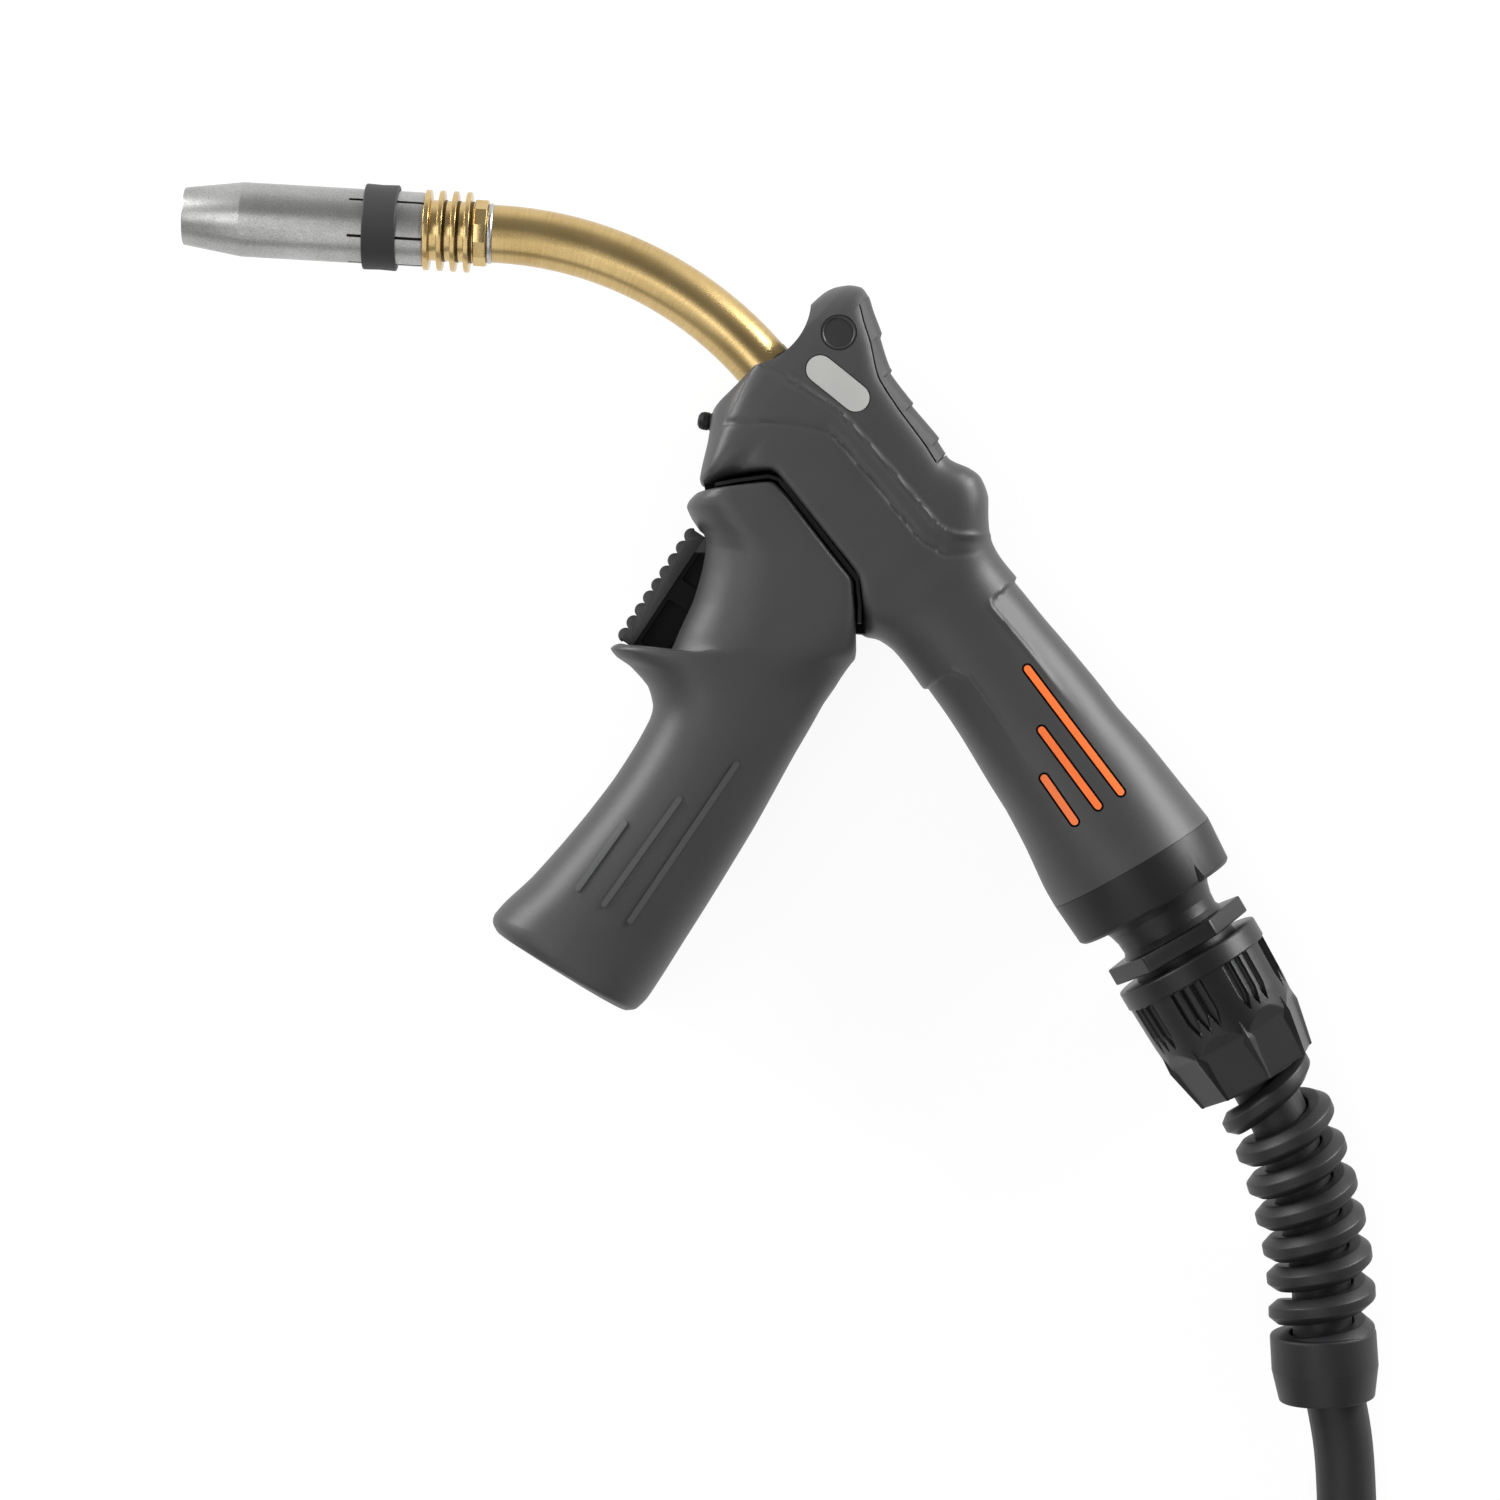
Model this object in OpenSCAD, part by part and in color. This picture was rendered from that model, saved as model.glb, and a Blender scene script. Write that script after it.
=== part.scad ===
// Gas-cooled MIG welding torch with a pistol grip, a swivelling ball joint and a coiled 3 m lead.
// The torch lies on its side: the casing halves part on the plane z = plane_z.

/* [Handle casing] */
// Half of the head's width, across the parting plane
handle_half_width = 21; // [19:0.5:24]
// Wall of the casing halves
shell_wall = 2.4; // [1.8:0.1:3]
// How far the end ring stands out past the head's half width
ring_flare = 2.25; // [1.5:0.25:4]
// Half of the pistol grip's width
grip_half_width = 19.5; // [17.5:0.5:21]
// Gap between head and pistol grip
grip_gap = 1.5; // [1:0.1:2]
// Shank radius of the casing screws
screw_r = 1.5; // [1.2:0.1:2]
// Head radius of the casing screws
screw_head_r = 2.9; // [2.5:0.1:3.4]

/* [Neck] */
// Outside radius of the neck tube
neck_r = 7.6; // [7:0.1:8.5]
// Wall of the neck tube
neck_wall = 1; // [0.8:0.1:1.3]
// Bend of the neck
neck_bend = 45.3; // [30:0.5:60]
// Bend radius of the neck's centre line
neck_bend_r = 99; // [80:1:120]
// Straight tube in front of the bend
neck_front_straight = 1.2; // [1:0.2:12]
// Straight tube between the bend and the head
neck_rear_straight = 1.2; // [1:0.2:12]
// Tube held inside the head
neck_seat = 30; // [26:1:34]
// Radius of the copper conductor tube
conductor_r = 4.5; // [4.2:0.1:4.8]
// Bore radius of the conductor tube
conductor_bore_r = 2.75; // [2.5:0.05:3.2]
// Radius of the wire liner
liner_r = 2.25; // [2:0.05:2.4]
// Bore radius of the wire liner
liner_bore_r = 1.2; // [0.9:0.1:1.5]

/* [Nozzle and front end] */
// Length of the gas nozzle
nozzle_length = 63.4; // [55:0.5:70]
// Outside radius of the gas nozzle
nozzle_r = 9.75; // [9.5:0.05:10.1]
// Outside radius at the nozzle's mouth
nozzle_mouth_r = 7.5; // [7.2:0.1:8.4]
// Length of the nozzle's tapered front
nozzle_taper = 15.3; // [10:0.5:20]
// Bore radius of the nozzle
nozzle_bore_r = 8.05; // [7.9:0.05:8.3]
// Bore radius at the nozzle's mouth
mouth_bore_r = 6.25; // [5.6:0.05:6.6]
// Number of slots in the nozzle's rear
slot_count = 6; // [4:1:8]
// Length of the slots
slot_length = 19.7; // [12:0.5:24]
// Width of the slots
slot_width = 0.8; // [0.5:0.1:1.4]
// Outside radius of the band round the nozzle
band_r = 11.25; // [10.8:0.05:12]
// Width of the band
band_width = 8.8; // [6:0.2:12]
// Number of cooling fins
fin_count = 4; // [3:1:4]
// Outside radius of the fins
fin_r = 10.6; // [9.5:0.1:11.5]
// Thickness of a fin
fin_thickness = 1.5; // [1:0.1:2]
// Distance from fin to fin
fin_pitch = 3.54; // [3:0.02:3.8]
// Radius of the finned body between its fins
fin_root_r = 7.95; // [7.6:0.05:8.6]
// Distance of the tip's end behind the nozzle's mouth
tip_setback = 5; // [0:0.5:6]
// Radius of the contact tip
tip_r = 4; // [3.5:0.1:4.3]
// Bore radius of the contact tip, for 1 mm wire
tip_bore_r = 0.6; // [0.4:0.05:0.9]
// Length of the contact tip in front of its holder
tip_length = 29.7; // [26:0.1:31]

/* [Trigger and switch] */
// Number of ribs on the trigger
trigger_ribs = 9; // [6:1:9]
// Distance from rib to rib
trigger_rib_pitch = 3.9; // [3.4:0.05:3.95]
// Radius of a rib
trigger_rib_r = 2; // [1.6:0.1:2.2]
// Width of the trigger
trigger_width = 15; // [12:0.5:16]
// Clearance beside the trigger in its slot
trigger_side_gap = 0.9; // [0.5:0.1:1.5]
// Radius of the trigger pin
trigger_pin_r = 1.5; // [1.2:0.1:1.8]
// Radius of the lock button
button_r = 2.4; // [2:0.1:2.8]
// How far the lock button stands out
button_height = 3.7; // [3:0.1:5]

/* [Ball joint and gland] */
// Length of the end ring behind the casing
ring_length = 12.4; // [12:0.2:15]
// Radius of the ball
ball_r = 17.5; // [17:0.1:17.6]
// Radius of the stem behind the ball
stem_r = 13.7; // [12.5:0.1:13.8]
// Visible length of the stem
stem_length = 9.3; // [9:0.1:12]
// Width across the flats of the hexagon flange
hex_flats = 36; // [33:0.5:38]
// Thickness of the hexagon flange
hex_thickness = 4.7; // [3.5:0.1:6]
// Outside radius of the clamp nut
nut_r = 20.25; // [19:0.25:22]
// Outside radius of the clamp nut's rear end
nut_end_r = 15.8; // [15:0.1:17]
// Length of the clamp nut
nut_length = 37.2; // [34:0.2:42]
// Number of pocket groups round the clamp nut
nut_pockets = 8; // [6:1:10]

/* [Cable and strain relief] */
// Radius of the cable
cable_r = 8; // [7.6:0.1:8]
// Outside radius of the spiral
spiral_r = 14.2; // [13.8:0.1:14.4]
// Radial thickness of the spiral's band
spiral_band = 5.8; // [5:0.1:5.9]
// Width of the spiral's band along the cable
spiral_band_width = 5; // [3.6:0.1:5.4]
// Number of turns of the spiral
spiral_turns = 7; // [5:1:7]
// Outside radius of the cuff's front end
cuff_r = 14.05; // [13.5:0.05:14.3]
// Outside radius of the cuff's mouth
cuff_mouth_r = 12.7; // [12.4:0.05:13]
// Length of the cuff
cuff_length = 17.9; // [15:0.1:20]
// Radius of the coil's outermost turn
coil_r = 114; // [110:1:118]
// Distance from turn to turn of the coil
coil_pitch = 16.8; // [16.6:0.1:18]

/* [Plug] */
// Outside radius of the union nut
plug_nut_r = 24.5; // [23.5:0.1:24.5]
// Length of the union nut
plug_nut_length = 36; // [30:1:40]
// Radius of the contact cylinder
contact_r = 11; // [10:0.5:12]
// Length of the contact cylinder
contact_length = 14; // [12:0.5:16]
// Radius of the gas and wire spigot
spigot_r = 5.2; // [4.8:0.1:5.6]
// Length of the gas and wire spigot
spigot_length = 24; // [20:0.5:28]
// Radius of the control pins
pin_r = 1.6; // [1.2:0.1:2]
// How far the control pins stand out
pin_height = 5; // [3.5:0.5:7]

/* [Hidden] */

fit = 0.05;             // running clearance of round fits
seat = 0.1;             // clearance of pieces seated in the casing
end_ring_r = handle_half_width + ring_flare;
plane_z = end_ring_r;   // the end ring is the widest piece, and lies on the surface

// Handle frame: x rearwards along the barrel, y towards the thumb pad
handle_at = [-13, 109];
handle_angle = 48.7;
neck_entry = [-1.2, 2.6];
neck_tail_turn = 3.4;
ring_at = [161.8, -1.4];
ring_turn = 7.6;

function handle_point(s, n) = [
    handle_at[0] + s * cos(handle_angle) + n * sin(handle_angle),
    handle_at[1] - s * sin(handle_angle) + n * cos(handle_angle), plane_z];
function ring_point(d) = handle_point(ring_at[0] + d * cos(ring_turn), ring_at[1] - d * sin(ring_turn));

module in_handle() translate([handle_at[0], handle_at[1], plane_z]) rotate([0, 0, -handle_angle]) children();
module in_neck() in_handle() translate(neck_entry) rotate([0, 0, neck_tail_turn]) children();
// z forwards along the nozzle, from the front end of the neck tube
module in_front() in_neck() translate([-neck_rear_straight, -neck_bend_r, 0]) rotate([0, 0, neck_bend])
    translate([-neck_front_straight, neck_bend_r, 0]) rotate([0, -90, 0]) children();
// z rearwards along the end ring's axis, from its front face
module in_ring() in_handle() translate(ring_at) rotate([0, 0, -ring_turn]) rotate([0, 90, 0]) children();
// x down the trigger, y into the grip, from the middle of its top rib
module in_trigger() in_handle() translate(trigger_at) rotate([0, 0, -trigger_lean]) children();

// ---- Casing sections: a rung joins two points of the outline, and a half section stands on it ----
// [upper s, upper n, lower s, lower n, half width beside the widest, roundness above, roundness below]
section_steps = 8;
barrel_outline = [
    [-4.0, 25.0, 1.6, -13.5, -9.0, 2.2, 2.2],
    [-5.6, 27.2, 0.6, -15.0, -5.5, 2.4, 2.6],
    [-5.0, 30.0, 2.2, -17.0, -3.5, 2.6, 3.0],
    [-3.0, 33.2, 6.5, -21.5, -2.4, 3.4, 4.0],
    [-0.4, 35.2, 13.0, -29.2, -1.6, 4.2, 6.0],
    [2.6, 35.0, 15.6, -28.0, -1.2, 4.8, 7.0],
    [6.5, 33.2, 18.5, -21.5, -0.8, 5.0, 7.0],
    [12.0, 31.0, 23.0, -13.2, -0.4, 5.0, 7.0],
    [20.5, 27.2, 28.0, -12.3, -0.2, 5.0, 7.0],
    [30.0, 26.2, 36.5, -12.2, 0.0, 5.0, 7.0],
    [41.5, 25.9, 49.0, -12.1, 0.0, 5.0, 7.0],
    [49.0, 25.4, 54.5, -12.0, 0.0, 5.0, 7.0],
    [54.0, 28.0, 59.0, -12.4, 0.0, 4.8, 7.0],
    [58.0, 29.2, 64.0, -15.2, 0.0, 4.6, 6.0],
    [63.0, 27.8, 71.0, -20.6, -0.2, 4.2, 4.0],
    [67.5, 24.0, 75.0, -17.6, -0.6, 3.6, 3.0],
    [72.0, 21.0, 79.0, -16.4, -1.0, 3.0, 2.6],
    [78.0, 20.5, 85.0, -16.2, -1.2, 2.6, 2.6],
    [88.0, 20.9, 95.0, -16.6, -1.4, 2.6, 2.6],
    [103.0, 21.1, 109.0, -17.2, -1.2, 2.6, 2.6],
    [115.0, 20.8, 120.0, -18.0, -1.0, 2.5, 2.5],
    [127.0, 20.6, 131.0, -19.0, -0.6, 2.4, 2.4],
    [139.0, 21.3, 142.0, -21.0, 0.2, 2.3, 2.3],
    [152.0, 21.5, 153.0, -23.6, 1.2, 2.15, 2.15]];
grip_outline = [
    [16.3, -29.8, 24.2, -16.6, -6.0, 3.0, 6.0],
    [15.2, -32.2, 26.0, -14.8, -2.4, 2.6, 7.0],
    [15.5, -34.8, 30.0, -14.1, -1.2, 2.5, 7.0],
    [16.4, -36.2, 37.0, -14.1, -0.6, 2.5, 7.0],
    [19.5, -37.0, 45.5, -14.2, -0.2, 2.5, 7.0],
    [23.3, -37.3, 53.0, -14.2, 0.0, 2.5, 7.0],
    [26.7, -38.9, 59.0, -14.3, 0.0, 2.5, 7.0],
    [31.2, -43.8, 64.7, -18.1, 0.0, 2.5, 7.0],
    [36.0, -50.5, 69.4, -21.5, 0.0, 2.5, 6.0],
    [39.7, -57.7, 73.3, -24.2, 0.0, 2.5, 5.0],
    [42.2, -64.0, 75.0, -25.9, 0.0, 2.5, 4.0],
    [36.4, -67.5, 75.4, -27.6, -0.2, 2.5, 3.5],
    [34.2, -72.1, 76.0, -29.8, -0.4, 2.4, 3.2],
    [33.7, -74.8, 76.7, -32.0, -0.6, 2.3, 3.0],
    [36.8, -73.8, 77.5, -34.2, -0.6, 2.3, 2.8],
    [41.4, -72.7, 78.3, -36.7, -0.6, 2.3, 2.6],
    [47.0, -73.2, 79.3, -39.9, -0.6, 2.4, 2.5],
    [51.8, -75.2, 81.2, -44.4, -0.6, 2.4, 2.5],
    [54.2, -78.1, 82.8, -48.3, -0.6, 2.4, 2.5],
    [57.3, -85.2, 85.3, -54.6, -0.6, 2.4, 2.5],
    [60.8, -95.3, 89.6, -64.6, -0.4, 2.4, 2.5],
    [63.7, -106.5, 93.6, -74.1, -0.2, 2.4, 2.5],
    [66.0, -117.3, 97.6, -84.6, 0.0, 2.4, 2.5],
    [67.9, -128.2, 101.8, -95.9, 0.4, 2.4, 2.5],
    [68.6, -137.1, 105.8, -107.1, 0.8, 2.4, 2.5],
    [69.5, -141.8, 109.4, -117.1, 1.0, 2.4, 2.5],
    [70.9, -143.5, 111.6, -123.8, 0.6, 2.4, 2.5],
    [73.3, -144.0, 112.0, -127.8, -0.6, 2.4, 2.5],
    [75.4, -143.2, 110.8, -130.0, -4.0, 2.4, 2.5]];
trigger_slot_rungs = [6, 12];
barrel_widths = [for (rung = barrel_outline) [for (i = [0 : 6]) i == 4 ? handle_half_width + rung[i] : rung[i]]];
barrel_end = [ring_at[0] + end_ring_r * sin(ring_turn), ring_at[1] + end_ring_r * cos(ring_turn),
    ring_at[0] - end_ring_r * sin(ring_turn), ring_at[1] - end_ring_r * cos(ring_turn),
    end_ring_r, 2.0, 2.0];
barrel_rungs = concat(barrel_widths, [barrel_end]);
grip_rungs = [for (rung = grip_outline) [for (i = [0 : 6]) i == 4 ? grip_half_width + rung[i] : rung[i]]];

function bent(value, power) = sign(value) * pow(abs(value), power);
// Half section on a rung, from its upper end round the outside to its lower end
function rung_ring(rung, inset, along, side, lift = 0) =
    let (a = [rung[0], rung[1]], b = [rung[2], rung[3]])
    let (middle = (a + b) / 2, way = (a - b) / norm(a - b), reach = norm(a - b) / 2 - inset)
    let (wide = rung[4] - inset, start = asin(pow(min(1, lift / wide), rung[5] / 2)))
    [for (i = [0 : section_steps])
        let (turn = start + (180 - start) * i / section_steps, c = cos(turn))
        let (power = 2 / (c > 0 ? rung[5] : rung[6]), at = middle + way * reach * bent(c, power) + along)
        [at[0], at[1], side * wide * bent(abs(sin(turn)), power)]];
function turned(faces, over) = over ? [for (f = faces) [for (i = [len(f) - 1 : -1 : 0]) f[i]]] : faces;
function quad(a, b, c, d) = [[a, b, c], [a, c, d]];
// Whether the rungs run so that the half's faces come out turned over
function runs_over(rungs, side) =
    let (run = rungs[len(rungs) - 1] - rungs[0], a = rungs[0])
    (side > 0) == (run[0] * (a[1] - a[3]) - run[1] * (a[0] - a[2]) > 0);

// Half of a hollow casing: an outer and an inner skin, joined along the parting plane
module half_casing(rungs, side, slot, first_way, last_way, open_end) {
    count = len(rungs);
    ring = section_steps + 1;
    slot_half = trigger_width / 2 + trigger_side_gap;
    lifts = [for (k = [0 : count - 1]) k >= slot[0] && k <= slot[1] ? slot_half : 0];
    outer = [for (k = [0 : count - 1]) each rung_ring(rungs[k], 0, [0, 0], side, lifts[k])];
    inner = [for (k = [0 : count - 1])
        let (near_front = max(0, 1 - k / 4), near_end = open_end ? 0 : max(0, 1 - (count - 1 - k) / 4))
        let (shift = shell_wall * (near_front * first_way + near_end * last_way))
        each rung_ring(rungs[k], shell_wall, shift, side, lifts[k])];
    base = count * ring;
    last = (count - 1) * ring;
    skins = [for (k = [0 : count - 2], i = [0 : ring - 2])
        let (p = k * ring + i, q = (k + 1) * ring + i)
        each concat(quad(p, p + 1, q + 1, q), quad(base + p, base + q, base + q + 1, base + p + 1))];
    rims = [for (k = [0 : count - 2])
        let (p = k * ring, q = (k + 1) * ring, e = ring - 1)
        each concat(quad(p, q, base + q, base + p), quad(p + e, base + p + e, base + q + e, q + e))];
    front = concat([[for (i = [ring - 1 : -1 : 0]) i]], [[for (i = [0 : ring - 1]) base + i]],
        quad(0, base, base + ring - 1, ring - 1));
    rear_open = [for (i = [0 : ring - 2])
        each quad(last + i, last + i + 1, base + last + i + 1, base + last + i)];
    rear_closed = concat([[for (i = [0 : ring - 1]) last + i]],
        [[for (i = [ring - 1 : -1 : 0]) base + last + i]],
        quad(last, last + ring - 1, base + last + ring - 1, base + last));
    faces = concat(skins, rims, front, open_end ? rear_open : rear_closed);
    polyhedron(points = concat(outer, inner), faces = turned(faces, runs_over(rungs, side)), convexity = 10);
}
// The same half as a solid, shrunk by an inset
module half_solid(rungs, side, inset) {
    count = len(rungs);
    ring = section_steps + 1;
    points = [for (rung = rungs) each rung_ring(rung, inset, [0, 0], side)];
    last = (count - 1) * ring;
    skin = [for (k = [0 : count - 2], i = [0 : ring - 2])
        let (p = k * ring + i, q = (k + 1) * ring + i) each quad(p, p + 1, q + 1, q)];
    flat = [for (k = [0 : count - 2])
        let (p = k * ring, q = (k + 1) * ring) each quad(p, q, q + ring - 1, p + ring - 1)];
    ends = [[for (i = [ring - 1 : -1 : 0]) i], [for (i = [0 : ring - 1]) last + i]];
    polyhedron(points = points, faces = turned(concat(skin, flat, ends), runs_over(rungs, side)),
        convexity = 10);
}

// ---- Casing details ----
barrel_screws = [[14, 19], [44, 18], [72, -10.5], [96, 14], [136, 12.5]];
grip_screws = [[35, -24], [66, -58], [82, -100], [92, -118]];
boss_r = screw_r + 2.2;
screw_head_depth = 6;
screw_head_height = 0.8 * screw_head_r;
badge_at = [5.9, 22.2];
badge_r = 4.5;
badge_thickness = 0.8;
badge_face = handle_half_width - 1.68;
badge_tilt = [-4.1, -8.2, 0];
badge_sunk = 0.35;
label_at = [16.2, 13.8];
label_turn = 13;
label_length = 19;
label_width = 7.2;
label_thickness = 0.7;
label_face = handle_half_width - 1.06;
label_tilt = [-2.3, -2.6, 0];
stripes = [[104.5, 7.1, 144.3, 6.4], [119.2, 0.2, 143.5, -0.5], [129.4, -6.9, 143, -7.7]];
stripe_half_width = 1;
stripe_depth = 1.2;
stripe_sunk = 0.2;
scoop_r = 17.5;
scoop_at = [-16.4, 8.4];
pad_half_width = 8.5;
pad_bed = [[2.6, 33.4], [6.5, 31.6], [12.0, 29.4], [20.5, 25.6], [30.0, 24.6], [41.5, 24.3], [47.4, 23.9]];
pad_top = [[47.4, 25.4], [43.4, 25.6], [42.4, 26.4], [32.6, 26.2], [31.4, 26.9], [22.4, 26.9], [21.2, 27.7],
    [13.0, 30.7], [11.8, 31.8], [6.5, 33.8], [2.6, 35.4]];
button_at = [2.6, -17.2];
button_way = 223;
button_travel = 1.5;

// Trigger frame
trigger_at = [23.3, -39.9];
trigger_lean = 71.5;
trigger_strip = 3.1;
trigger_pivot = [-2.5, 7.8];
trigger_boss_r = 2.7;
trigger_web_x = 14;
trigger_reach = (trigger_ribs - 1) * trigger_rib_pitch;
trigger_pin_reach = 11;
cheek_thickness = 1.8;
cheek_inset = 0.3;
cheek_depth = 12.6;
cheek_pocket = 0.9;
switch_size = [20, 10, 6.4];
switch_gap = 2;
web_end = 11.5;
plunger_r = 1.2;
bracket_reach = grip_half_width - shell_wall - 3.2;
grip_inner_half = grip_half_width - shell_wall;
barrel_inner_half = handle_half_width - shell_wall;

module capsule(length, half_width, height) {
    linear_extrude(height) {
        translate([half_width, 0]) circle(half_width, $fn = 48);
        translate([length - half_width, 0]) circle(half_width, $fn = 48);
        translate([half_width, -half_width]) square([length - 2 * half_width, 2 * half_width]);
    }
}
module stripe(row, half_width, side) {
    run = [row[2] - row[0], row[3] - row[1]];
    low = side > 0 ? 0 : -30;
    translate([row[0], row[1], low]) rotate([0, 0, atan2(run[1], run[0])])
        translate([stripe_half_width - half_width, 0, 0])
            capsule(norm(run) + 2 * (half_width - stripe_half_width), half_width, 30);
}
// On the floor of the badge's and the label's recess, tilted with the casing's surface there
module at_badge() {
    translate([badge_at[0], badge_at[1], badge_face]) rotate(badge_tilt)
        translate([0, 0, -badge_sunk - badge_thickness]) children();
}
module at_label() {
    translate([label_at[0], label_at[1], label_face]) rotate([0, 0, label_turn]) rotate(label_tilt)
        translate([0, 0, -label_thickness]) children();
}
module screw_boss(at, inner_half, side) {
    reach = inner_half + shell_wall / 2;
    translate([at[0], at[1], side > 0 ? 0 : -reach]) cylinder(h = reach, r = boss_r, $fn = 40);
}
module screw_bore(at, inner_half, side) {
    reach = inner_half + shell_wall + 2;
    if (side > 0) translate([at[0], at[1], -1]) cylinder(h = inner_half - 1, r = screw_r - 0.1, $fn = 32);
    else {
        translate([at[0], at[1], -reach]) cylinder(h = reach + 1, r = screw_r + 0.1, $fn = 32);
        translate([at[0], at[1], -reach - screw_head_depth])
            cylinder(h = reach, r = screw_head_r + 0.2, $fn = 32);
    }
}
module barrel_half(side) {
    color([0.22, 0.22, 0.22]) in_handle() difference() {
        union() {
            half_casing(barrel_rungs, side, [-1, -1], [1, 0], [-1, 0], true);
            intersection() {
                for (at = barrel_screws) screw_boss(at, barrel_inner_half, side);
                half_solid(barrel_rungs, side, shell_wall / 2);
            }
        }
        for (at = barrel_screws) screw_bore(at, barrel_inner_half, side);
        translate(neck_entry) rotate([0, 0, neck_tail_turn]) rotate([0, 90, 0])
            translate([0, 0, -30]) cylinder(h = 60, r = neck_r + seat, $fn = 64);
        translate([scoop_at[0], scoop_at[1], -30]) cylinder(h = 60, r = scoop_r, $fn = 96);
        translate([button_at[0], button_at[1], 0]) rotate([0, 0, button_way]) rotate([0, 90, 0])
            translate([0, 0, -8]) cylinder(h = 16, r = button_r + fit, $fn = 40);
        difference() {
            for (row = stripes) stripe(row, stripe_half_width + 0.15, side);
            half_solid(barrel_rungs, side, stripe_depth + stripe_sunk);
        }
        linear_extrude(2 * (pad_half_width + seat), center = true)
            polygon(concat([for (p = pad_bed) p - [0, seat]], [pad_bed[6] + [0, 12], pad_bed[0] + [-3, 12]]));
        wire_way();
        bracket_ways();
        if (side > 0) {
            at_badge() cylinder(h = 10, r = badge_r + seat, $fn = 64);
            at_label() translate([-label_length / 2 - seat, 0, 0])
                capsule(label_length + 2 * seat, label_width / 2 + seat, 10);
        }
    }
}
module grip_half(side) {
    color([0.24, 0.24, 0.24]) in_handle() difference() {
        union() {
            half_casing(grip_rungs, side, trigger_slot_rungs, [0.4, -0.9], [-0.75, 0.65], false);
            intersection() {
                for (at = grip_screws) screw_boss(at, grip_inner_half, side);
                half_solid(grip_rungs, side, shell_wall / 2);
            }
            trigger_pin_boss(side);
        }
        for (at = grip_screws) screw_bore(at, grip_inner_half, side);
        trigger_pin_bore();
        trigger_room();
        wire_way();
        bracket_ways();
    }
}
module trigger_room() {
    near = trigger_width / 2 + trigger_side_gap - fit;
    low = trigger_reach + trigger_rib_r + 1.4;
    high = trigger_pivot[0] - trigger_boss_r - 0.6;
    translate(trigger_at) rotate([0, 0, -trigger_lean]) linear_extrude(2 * near, center = true) {
        polygon([[-2.6, -4], [-2.6, 2.5], [high, 4.5], [high, 12], [3, 12], [3, -4]]);
        polygon([[28, -4], [low, -4], [low, 9], [28, 9]]);
        polygon([[22, 8], [low - 2.4, 8], [low - 2.6, 12.6], [low - 5.4, 15.6], [22, 16.8]]);
    }
}
module trigger_pin_boss(side) {
    near = trigger_width / 2 + trigger_side_gap;
    intersection() {
        translate(trigger_at) rotate([0, 0, -trigger_lean]) translate(trigger_pivot)
            translate([0, 0, side > 0 ? near : -grip_inner_half])
                cylinder(h = grip_inner_half - near, r = trigger_boss_r, $fn = 40);
        half_solid(grip_rungs, side, shell_wall / 2);
    }
}
module trigger_pin_bore() {
    reach = trigger_pin_reach + 0.2;
    translate(trigger_at) rotate([0, 0, -trigger_lean]) translate(trigger_pivot)
        translate([0, 0, -reach]) cylinder(h = 2 * reach, r = trigger_pin_r + fit, $fn = 40);
}
// Way for the switch wires and for the bracket's two studs between grip and head
wire_way_at = [51, -13];
stud_r = 3;
stud_places = [33, 43];
// Middle of the gap between head and grip, which the bracket's lip closes
lip_line = [[17, -27.1], [19.6, -22.1], [23.9, -14.8], [26.2, -13.2], [59, -13.2], [64.4, -16.6], [68.4, -19.7]];
lip_thickness = 0.9;
lip_inset = 1;
module wire_way() {
    translate([wire_way_at[0], wire_way_at[1], 0]) rotate([90, 0, 0])
        translate([0, 0, -6]) cylinder(h = 12, r = 3, $fn = 40);
}
module bracket_ways() {
    for (s = stud_places) translate([s, -13, 0]) rotate([90, 0, 0])
        translate([0, 0, -8]) cylinder(h = 16, r = stud_r + seat, $fn = 40);
}
module barrel_shell_left() barrel_half(1);
module barrel_shell_right() barrel_half(-1);
module grip_shell_left() grip_half(1);
module grip_shell_right() grip_half(-1);

module one_screw(at, inner_half) {
    head_top = -(screw_head_depth);
    translate([at[0], at[1], 0]) {
        translate([0, 0, head_top - screw_head_height])
            cylinder(h = screw_head_height, r = screw_head_r, $fn = 40);
        translate([0, 0, head_top]) cylinder(h = screw_head_depth + inner_half - 5, r = screw_r - 0.15, $fn = 32);
    }
}
module shell_screws() {
    color("silver") in_handle() {
        for (at = barrel_screws) one_screw(at, barrel_inner_half);
        for (at = grip_screws) one_screw(at, grip_inner_half);
    }
}
// Outline of a band of even width along a line of points
function band_outline(line, half) = let (last = len(line) - 1)
    let (sides = [for (i = [0 : last])
        let (a = line[max(i - 1, 0)], b = line[i], c = line[min(i + 1, last)])
        let (before = i > 0 ? (b - a) / norm(b - a) : (c - b) / norm(c - b))
        let (after = i < last ? (c - b) / norm(c - b) : before)
        let (sum = before + after, way = sum / norm(sum))
        [-way[1], way[0]] * half / (before * way)])
    concat([for (i = [0 : last]) line[i] + sides[i]], [for (i = [last : -1 : 0]) line[i] - sides[i]]);
module grip_bracket() {
    plate = [32, grip_gap, 2 * (grip_inner_half - lip_inset)];
    color([0.12, 0.12, 0.12]) in_handle() {
        difference() {
            union() {
                translate([27, -13.2 - plate[1] / 2 + 0.1, -plate[2] / 2])
                    cube([plate[0], plate[1] - 0.2, plate[2]]);
                linear_extrude(plate[2], center = true) polygon(band_outline(lip_line, lip_thickness / 2));
            }
            wire_way();
        }
        for (s = stud_places) translate([s, -13, 0]) rotate([90, 0, 0])
            translate([0, 0, -6]) cylinder(h = 12, r = stud_r, $fn = 40);
    }
}
module thumb_pad() {
    color([0.16, 0.16, 0.16]) in_handle() linear_extrude(2 * pad_half_width, center = true)
        polygon(concat(pad_bed, pad_top));
}
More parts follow.
